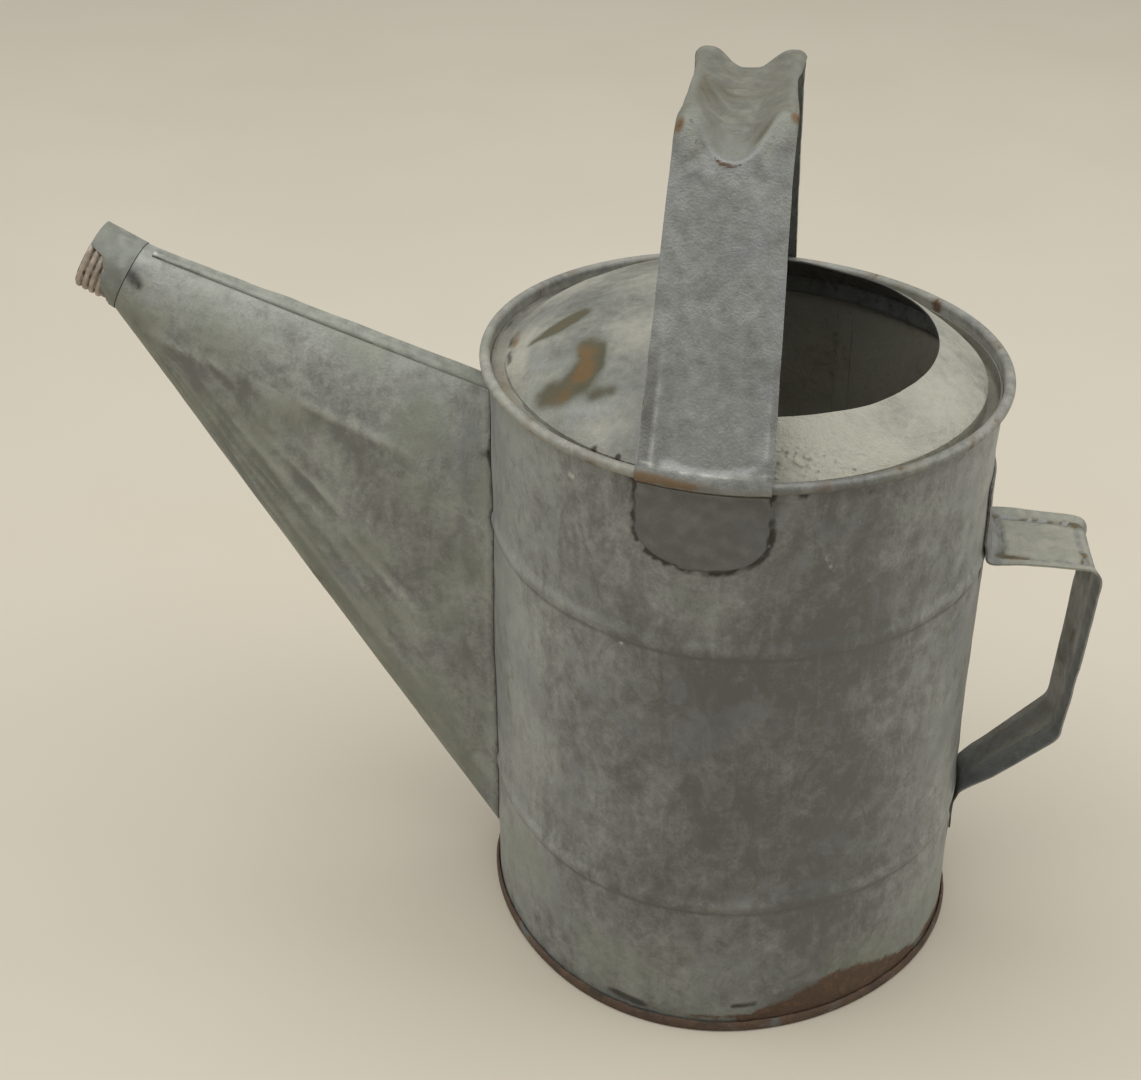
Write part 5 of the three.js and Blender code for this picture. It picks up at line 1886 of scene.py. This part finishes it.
@dataclass
class RearHandle:
    """The narrower strap behind: tab, shelf, grip, slanting leg and lower tab."""

    thickness: float = 0.9
    tab_radius: float = 108.75
    over_ring: float = 109.7
    edge_width: float = 7.0
    edge_rise: float = 1.4
    skew: float = 1.2
    step: float = 1.3

    def path(self) -> Array:
        """The strap's middle line as rows of (reach, height, width).

        Returns:
            The rows, from the top down.
        """
        corners: list[tuple[float, float, float, float]] = [
            (self.tab_radius, 238.0, 42.0, 0.0),
            (self.tab_radius, 237.0, 46.5, 0.0),
            (self.tab_radius, 234.5, 49.0, 0.0),
            (self.tab_radius, 209.9, 49.0, 0.0),
            (self.over_ring, 208.0, 49.0, 0.0),
            (self.over_ring, 200.75, 49.0, 3.5),
            (131.7, 199.9, 46.2, 0.0),
            (153.7, 199.0, 45.5, 6.0),
            (151.0, 154.0, 41.8, 0.0),
            (147.8, 109.0, 35.0, 8.0),
            (116.7, 77.7, 29.8, 8.0),
            (110.7, 70.35, 27.9, 0.0),
            (self.tab_radius, 63.0, 26.0, 0.0),
            (self.tab_radius, 48.0, 26.0, 0.0),
        ]
        rows: list[Array] = []
        for number, corner in enumerate(corners):
            here = np.array(corner[:3])
            if corner[3] == 0.0:
                rows.append(here)
                continue
            before = np.array(corners[number - 1][:2]) - here[:2]
            after = np.array(corners[number + 1][:2]) - here[:2]
            lengths = (float(np.linalg.norm(before)), float(np.linalg.norm(after)))
            cosine = float(before @ after) / (lengths[0] * lengths[1])
            turn = math.pi - math.acos(max(-1.0, min(1.0, cosine)))
            cut = min(corner[3] * math.tan(turn / 2.0), lengths[0] / 2.0, lengths[1] / 2.0)
            start = here[:2] + before / lengths[0] * cut
            end = here[:2] + after / lengths[1] * cut
            for share in even_steps(0.0, 1.0, 9):
                rows.append(np.array([*bend_at(start, here[:2], end, share), corner[2]]))
        return np.array(rows)

    def build(self, finish: bpy.types.Material) -> bpy.types.Object:
        """Makes the strap from the upper tab to the lower one.

        Args:
            finish: Its finish.

        Returns:
            The strap.
        """
        path = relax(resample(self.path(), self.step), 1)
        columns = np.sort(np.concatenate([np.linspace(-1.0, 1.0, 33), [-0.985, 0.985]]))
        reach, height, width = (path[:, k : k + 1] for k in range(3))
        tangent = tangents(path)
        off = ramp(reach, self.tab_radius, self.tab_radius + 14.0)
        side = columns[None] * width / 2.0
        edge = np.maximum(np.abs(side) - (width / 2.0 - self.edge_width), 0.0) / self.edge_width
        rise = self.edge_rise * edge**1.3 * off
        sag = (self.tab_radius - np.sqrt(self.tab_radius**2 - side**2)) * (1.0 - off)
        skew = self.skew * columns[None] * off
        grid = np.zeros((len(path), len(columns), 3))
        grid[..., 0] = reach - sag - skew - tangent[:, 1:] * rise
        grid[..., 1] = side
        grid[..., 2] = height + tangent[:, :1] * rise
        dents = 0.24 * SoftNoise(101, 30.0).at(grid) + 0.10 * SoftNoise(102, 10.0).at(grid)
        grid[..., 0] -= np.clip(dents, 0.01, 0.6) * off * 0.6
        grid[..., 2] -= np.clip(dents, 0.0, 0.6) * off * 0.4
        groove, ridge = self.border(np.abs(columns[None]), reach, height)
        lumps = 0.75 + 0.35 * SoftNoise(103, 7.0).at(grid)
        pressed = ridge * lumps - 1.1 * groove * np.maximum(lumps, 0.2)
        grid[..., 2] += pressed * ramp(reach, 112.0, 115.0)
        normals = grid_normals(grid)
        skin = Skin.between(
            grid + normals * self.thickness / 2.0, grid - normals * self.thickness / 2.0, False
        )
        self.mark(skin, columns, path)
        skin.points = KNOCKS.move(skin.points)
        piece = skin.make("rear_strap", finish, 55.0)
        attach(piece, "root")
        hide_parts("rear_handle")
        return piece

    def border(self, u: Array, reach: Array, height: Array) -> tuple[Array, Array]:
        """The groove and the ridge along the shelf's edges.

        Args:
            u: Share of the half width from the strap's middle line.
            reach: Distance from the can's axis along the strap.
            height: Height along the strap.

        Returns:
            How deep the groove and how high the ridge is, from 0 to 1.
        """
        shelf = ramp(height, 196.5, 198.5) * ramp(reach, 110.5, 113.0) * (1.0 - ramp(reach, 152.0, 154.5))
        sides = hump(u, 0.71, 0.08)
        ends = hump(reach, 114.5, 1.3) + hump(reach, 148.5, 1.5)
        groove = np.maximum(sides, ends * (1.0 - ramp(u, 0.7, 0.8))) * shelf
        ridge = hump(u, 0.88, 0.07) * shelf
        return groove, ridge

    def mark(self, skin: Skin, columns: Array, path: Array) -> None:
        """Paints the pitted shelf, the inside of the grip and the dirt at the tabs, with painted highlights
        on the ridges and painted shade in the grooves.

        Args:
            skin: The strap's skin.
            columns: Places across the strap, from -1 to 1.
            path: The strap's middle line.
        """
        points = skin.points
        rows = len(path)
        u = np.tile(np.abs(columns), rows * 2)
        reach = both_faces(path[:, 0], len(columns))
        height = both_faces(path[:, 1], len(columns))
        wide = SoftNoise(105, 30.0).at(points)
        small = SoftNoise(106, 8.0).at(points)
        shelf = ramp(height, 196.5, 198.8) * ramp(reach, 112.0, 118.0)
        upper = points[:, 2] > height - 0.2
        top = shelf * upper
        inside = ((1.0 - shelf) * ramp(reach, 114.0, 122.0)) * (points[:, 0] < reach)
        edge = ramp(u, 0.93, 1.0)
        tab = 1.0 - ramp(reach, 109.5, 113.0)
        groove, ridge = self.border(u, reach, height)
        broken = ramp(SoftNoise(107, 11.0).at(points), -0.4, 1.0)
        pits = groove * upper * (0.25 + 0.95 * broken) + trails(
            points,
            (
                Trail(((113, 17, 200), (121, 17, 200)), 1.3, 0.9),
                Trail(((113, -16.5, 200), (118, -17, 200)), 1.2, 0.8),
                Trail(((149, -15, 199), (150, -8, 199)), 1.2, 0.7),
                Trail(((143, 16.5, 200), (148, 16, 199)), 1.4, 0.8),
            ),
        ) * upper
        low = 1.0 - ramp(height, 78.0, 120.0)
        slant = 1.0 - ramp(height, 100.0, 118.0)
        streak = slant * inside * hump(points[:, 1], -5.0, 3.4)
        # Painted light and shade: the ridges are lighter and the grooves darker. The grip's inside is darker
        # on its +Y half, and the shelf's top lighter and dusty.
        skin.mark(
            LIGHT_AND_TONE=0.10 * wide + 0.12 * small + 0.45 * top - 0.25 * low + 0.25 * edge * (1.0 - tab)
            + streak + 0.3 * ridge * upper,
            SHADE=0.22 * inside * ramp(points[:, 1], -6.0, 6.0) + 0.45 * groove * upper,
            WEAR_AND_HIGHLIGHT=0.22 * edge * top + 0.12 * edge + 0.1 * ridge * upper,
            DUST_AND_LIGHT=0.48 * top + 0.3 * streak + 0.16 * inside,
            GRIME_AND_SHADE=0.12 * inside + 0.35 * tab + 0.34 * pits * (0.9 + 0.3 * small) + 0.10 * low - 0.3 * streak,
            RUST=0.22 * edge + 0.3 * tab + 0.15 * pits + 0.10 * low,
            OCHRE=0.20 * top + 0.2 * pits + 0.30 * inside,
            STAIN=0.10 + 0.25 * inside * (1.0 + 0.3 * wide) + 0.6 * pits,
            GREEN=0.7 * top + 0.8 * streak + 0.25 * low,
        )


@dataclass
class Studio:
    """Pale floor, soft lamps and the camera of the photograph."""

    floor_colour: Rgb = (0.59, 0.54, 0.435)
    backdrop: Rgb = (0.57, 0.52, 0.42)
    room: float = 0.45
    camera_place: Point = (29.7, -709.3, 617.3)
    camera_aim: Point = (-72.2, -10.5, 188.8)
    lens: float = 58.7

    def build_floor(self) -> None:
        """Makes the floor, a wide flat sheet under the can."""
        graph = Graph.of_material("pale_floor")
        wash = graph.noise(3.0, 2.0)
        colour = Colour(graph, self.floor_colour).toward((0.57, 0.515, 0.41), (wash * 2.0).step(-0.5, 0.5))
        material = graph.finish({"Base Color": colour, "Roughness": 0.85})
        size, below = 5000.0, -0.05
        plan = ((-size, -size), (size, -size), (size, size), (-size, size))
        corners = np.array([(x, y, below) for x, y in plan])
        floor = Skin(corners, [(0, 1, 2, 3)]).make("floor", material)

    def build_world(self) -> None:
        """Sets the soft light from all round and the backdrop's colour."""
        graph = Graph(bpy.data.worlds.new("soft_room"))
        bpy.context.scene.world = graph.owner
        path = graph.node("ShaderNodeLightPath", {}, {})
        kinds = ("Is Camera Ray", "Is Glossy Ray", "Is Transmission Ray")
        camera, glossy, through = (Value(graph, path.outputs[kind]) for kind in kinds)
        room = graph.node("ShaderNodeBackground", {}, {"Color": (0.97, 0.98, 1.0), "Strength": self.room})
        seen = graph.node("ShaderNodeBackground", {}, {"Color": self.backdrop, "Strength": 1.0})
        mix = graph.node(
            "ShaderNodeMixShader", {}, {0: camera + glossy + through, 1: room.outputs[0], 2: seen.outputs[0]}
        )
        graph.node("ShaderNodeOutputWorld", {}, {"Surface": mix.outputs[0]})

    def add_lamp(self, name: str, place: Point, size: float, power: float, colour: Rgb) -> None:
        """Adds a soft square lamp that faces the can.

        Args:
            name: The lamp's name.
            place: Its place in millimetres.
            size: Its side in millimetres.
            power: Its power in watts.
            colour: The colour of its light.
        """
        data = bpy.data.lights.new(name, "AREA")
        data.size = size * MILLIMETRE
        data.energy = power
        data.color = colour
        lamp = bpy.data.objects.new(name, data)
        lamp.location = Vector(place) * MILLIMETRE
        aim = Vector((0.0, 0.0, 150.0)) - Vector(place)
        lamp.rotation_euler = aim.to_track_quat("-Z", "Y").to_euler()
        bpy.context.scene.collection.objects.link(lamp)

    def build_camera(self) -> None:
        """Sets up the camera at the photograph's place."""
        data = bpy.data.cameras.new("camera")
        data.lens = self.lens
        data.sensor_width = 36.0
        camera = bpy.data.objects.new("camera", data)
        place = Vector(self.camera_place)
        camera.location = place * MILLIMETRE
        aim = Vector(self.camera_aim) - place
        camera.rotation_euler = aim.to_track_quat("-Z", "Y").to_euler()
        bpy.context.scene.collection.objects.link(camera)
        bpy.context.scene.camera = camera

    def build(self) -> None:
        """Builds the whole studio."""
        self.build_floor()
        self.build_world()
        self.add_lamp("left_window", (-1700.0, -250.0, 1900.0), 1500.0, 15.0, (1.0, 1.0, 1.0))
        self.add_lamp("right_window", (1600.0, 100.0, 1400.0), 1300.0, 11.0, (1.0, 1.0, 1.0))
        self.add_lamp("ceiling", (0.0, -100.0, 2400.0), 2600.0, 35.0, (1.0, 1.0, 1.0))
        self.build_camera()
        bpy.context.scene.view_settings.view_transform = "Standard"


def tab_outline() -> tuple[Point, ...]:
    """The outline of the top handle's near tab on the wall.

    Returns:
        Points down one side, round the foot and up the other side.
    """
    wall, left, right, middle, half = 108.0, -34.8, 17.6, -8.6, 26.2
    top, bottom, corner_rise = 274.0, 239.0, 14.5
    path: list[Point] = [(left, -math.sqrt(wall**2 - left**2), top)]
    for x in even_steps(left, right, 31):
        share = (x - middle) / half
        rise = corner_rise * (1.0 - math.sqrt(max(1.0 - share**2, 0.0)))
        path.append((x, -math.sqrt(wall**2 - x**2), bottom + rise))
    path.append((right, -math.sqrt(wall**2 - right**2), top))
    return tuple(path)


def main() -> None:
    """Builds the can and the studio in order."""
    logging.basicConfig(level=logging.INFO, format="%(message)s")
    Studio().build()
    zinc = ZincPatina("galvanised_patina").material()
    spout_zinc = ZincPatina(
        "spout_patina", light=(0.405, 0.418, 0.378), dark=(0.165, 0.169, 0.152), metallic=0.2, roughness=0.6
    ).material()
    strap_zinc = ZincPatina(
        "strap_patina", light=(0.30, 0.31, 0.297), dark=(0.150, 0.154, 0.147), mottle=0.45, grain=0.0004
    ).material()
    dusty = ZincPatina("dusty_patina", metallic=0.25, roughness=0.62, mottle=0.55, grain=0.0005).material()
    brass = TarnishedBrass().material()
    wire = PlainSteel().material()

    body = Body(tab_outline=tab_outline())
    spout = Spout()
    pieces = [
        body.build_wall(zinc),
        body.build_bottom(zinc),
        body.dress_wire(wire),
        Breast().build(dusty),
        spout.build_shell(spout_zinc),
        spout.build_collar(spout_zinc),
        spout.build_ring(brass),
        TopHandle().build(strap_zinc),
        RearHandle().build(strap_zinc),
    ]
    for piece in pieces:
        LOG.info("%s: %d faces", piece.name, len(piece.data.polygons))


if __name__ == "__main__":
    main()
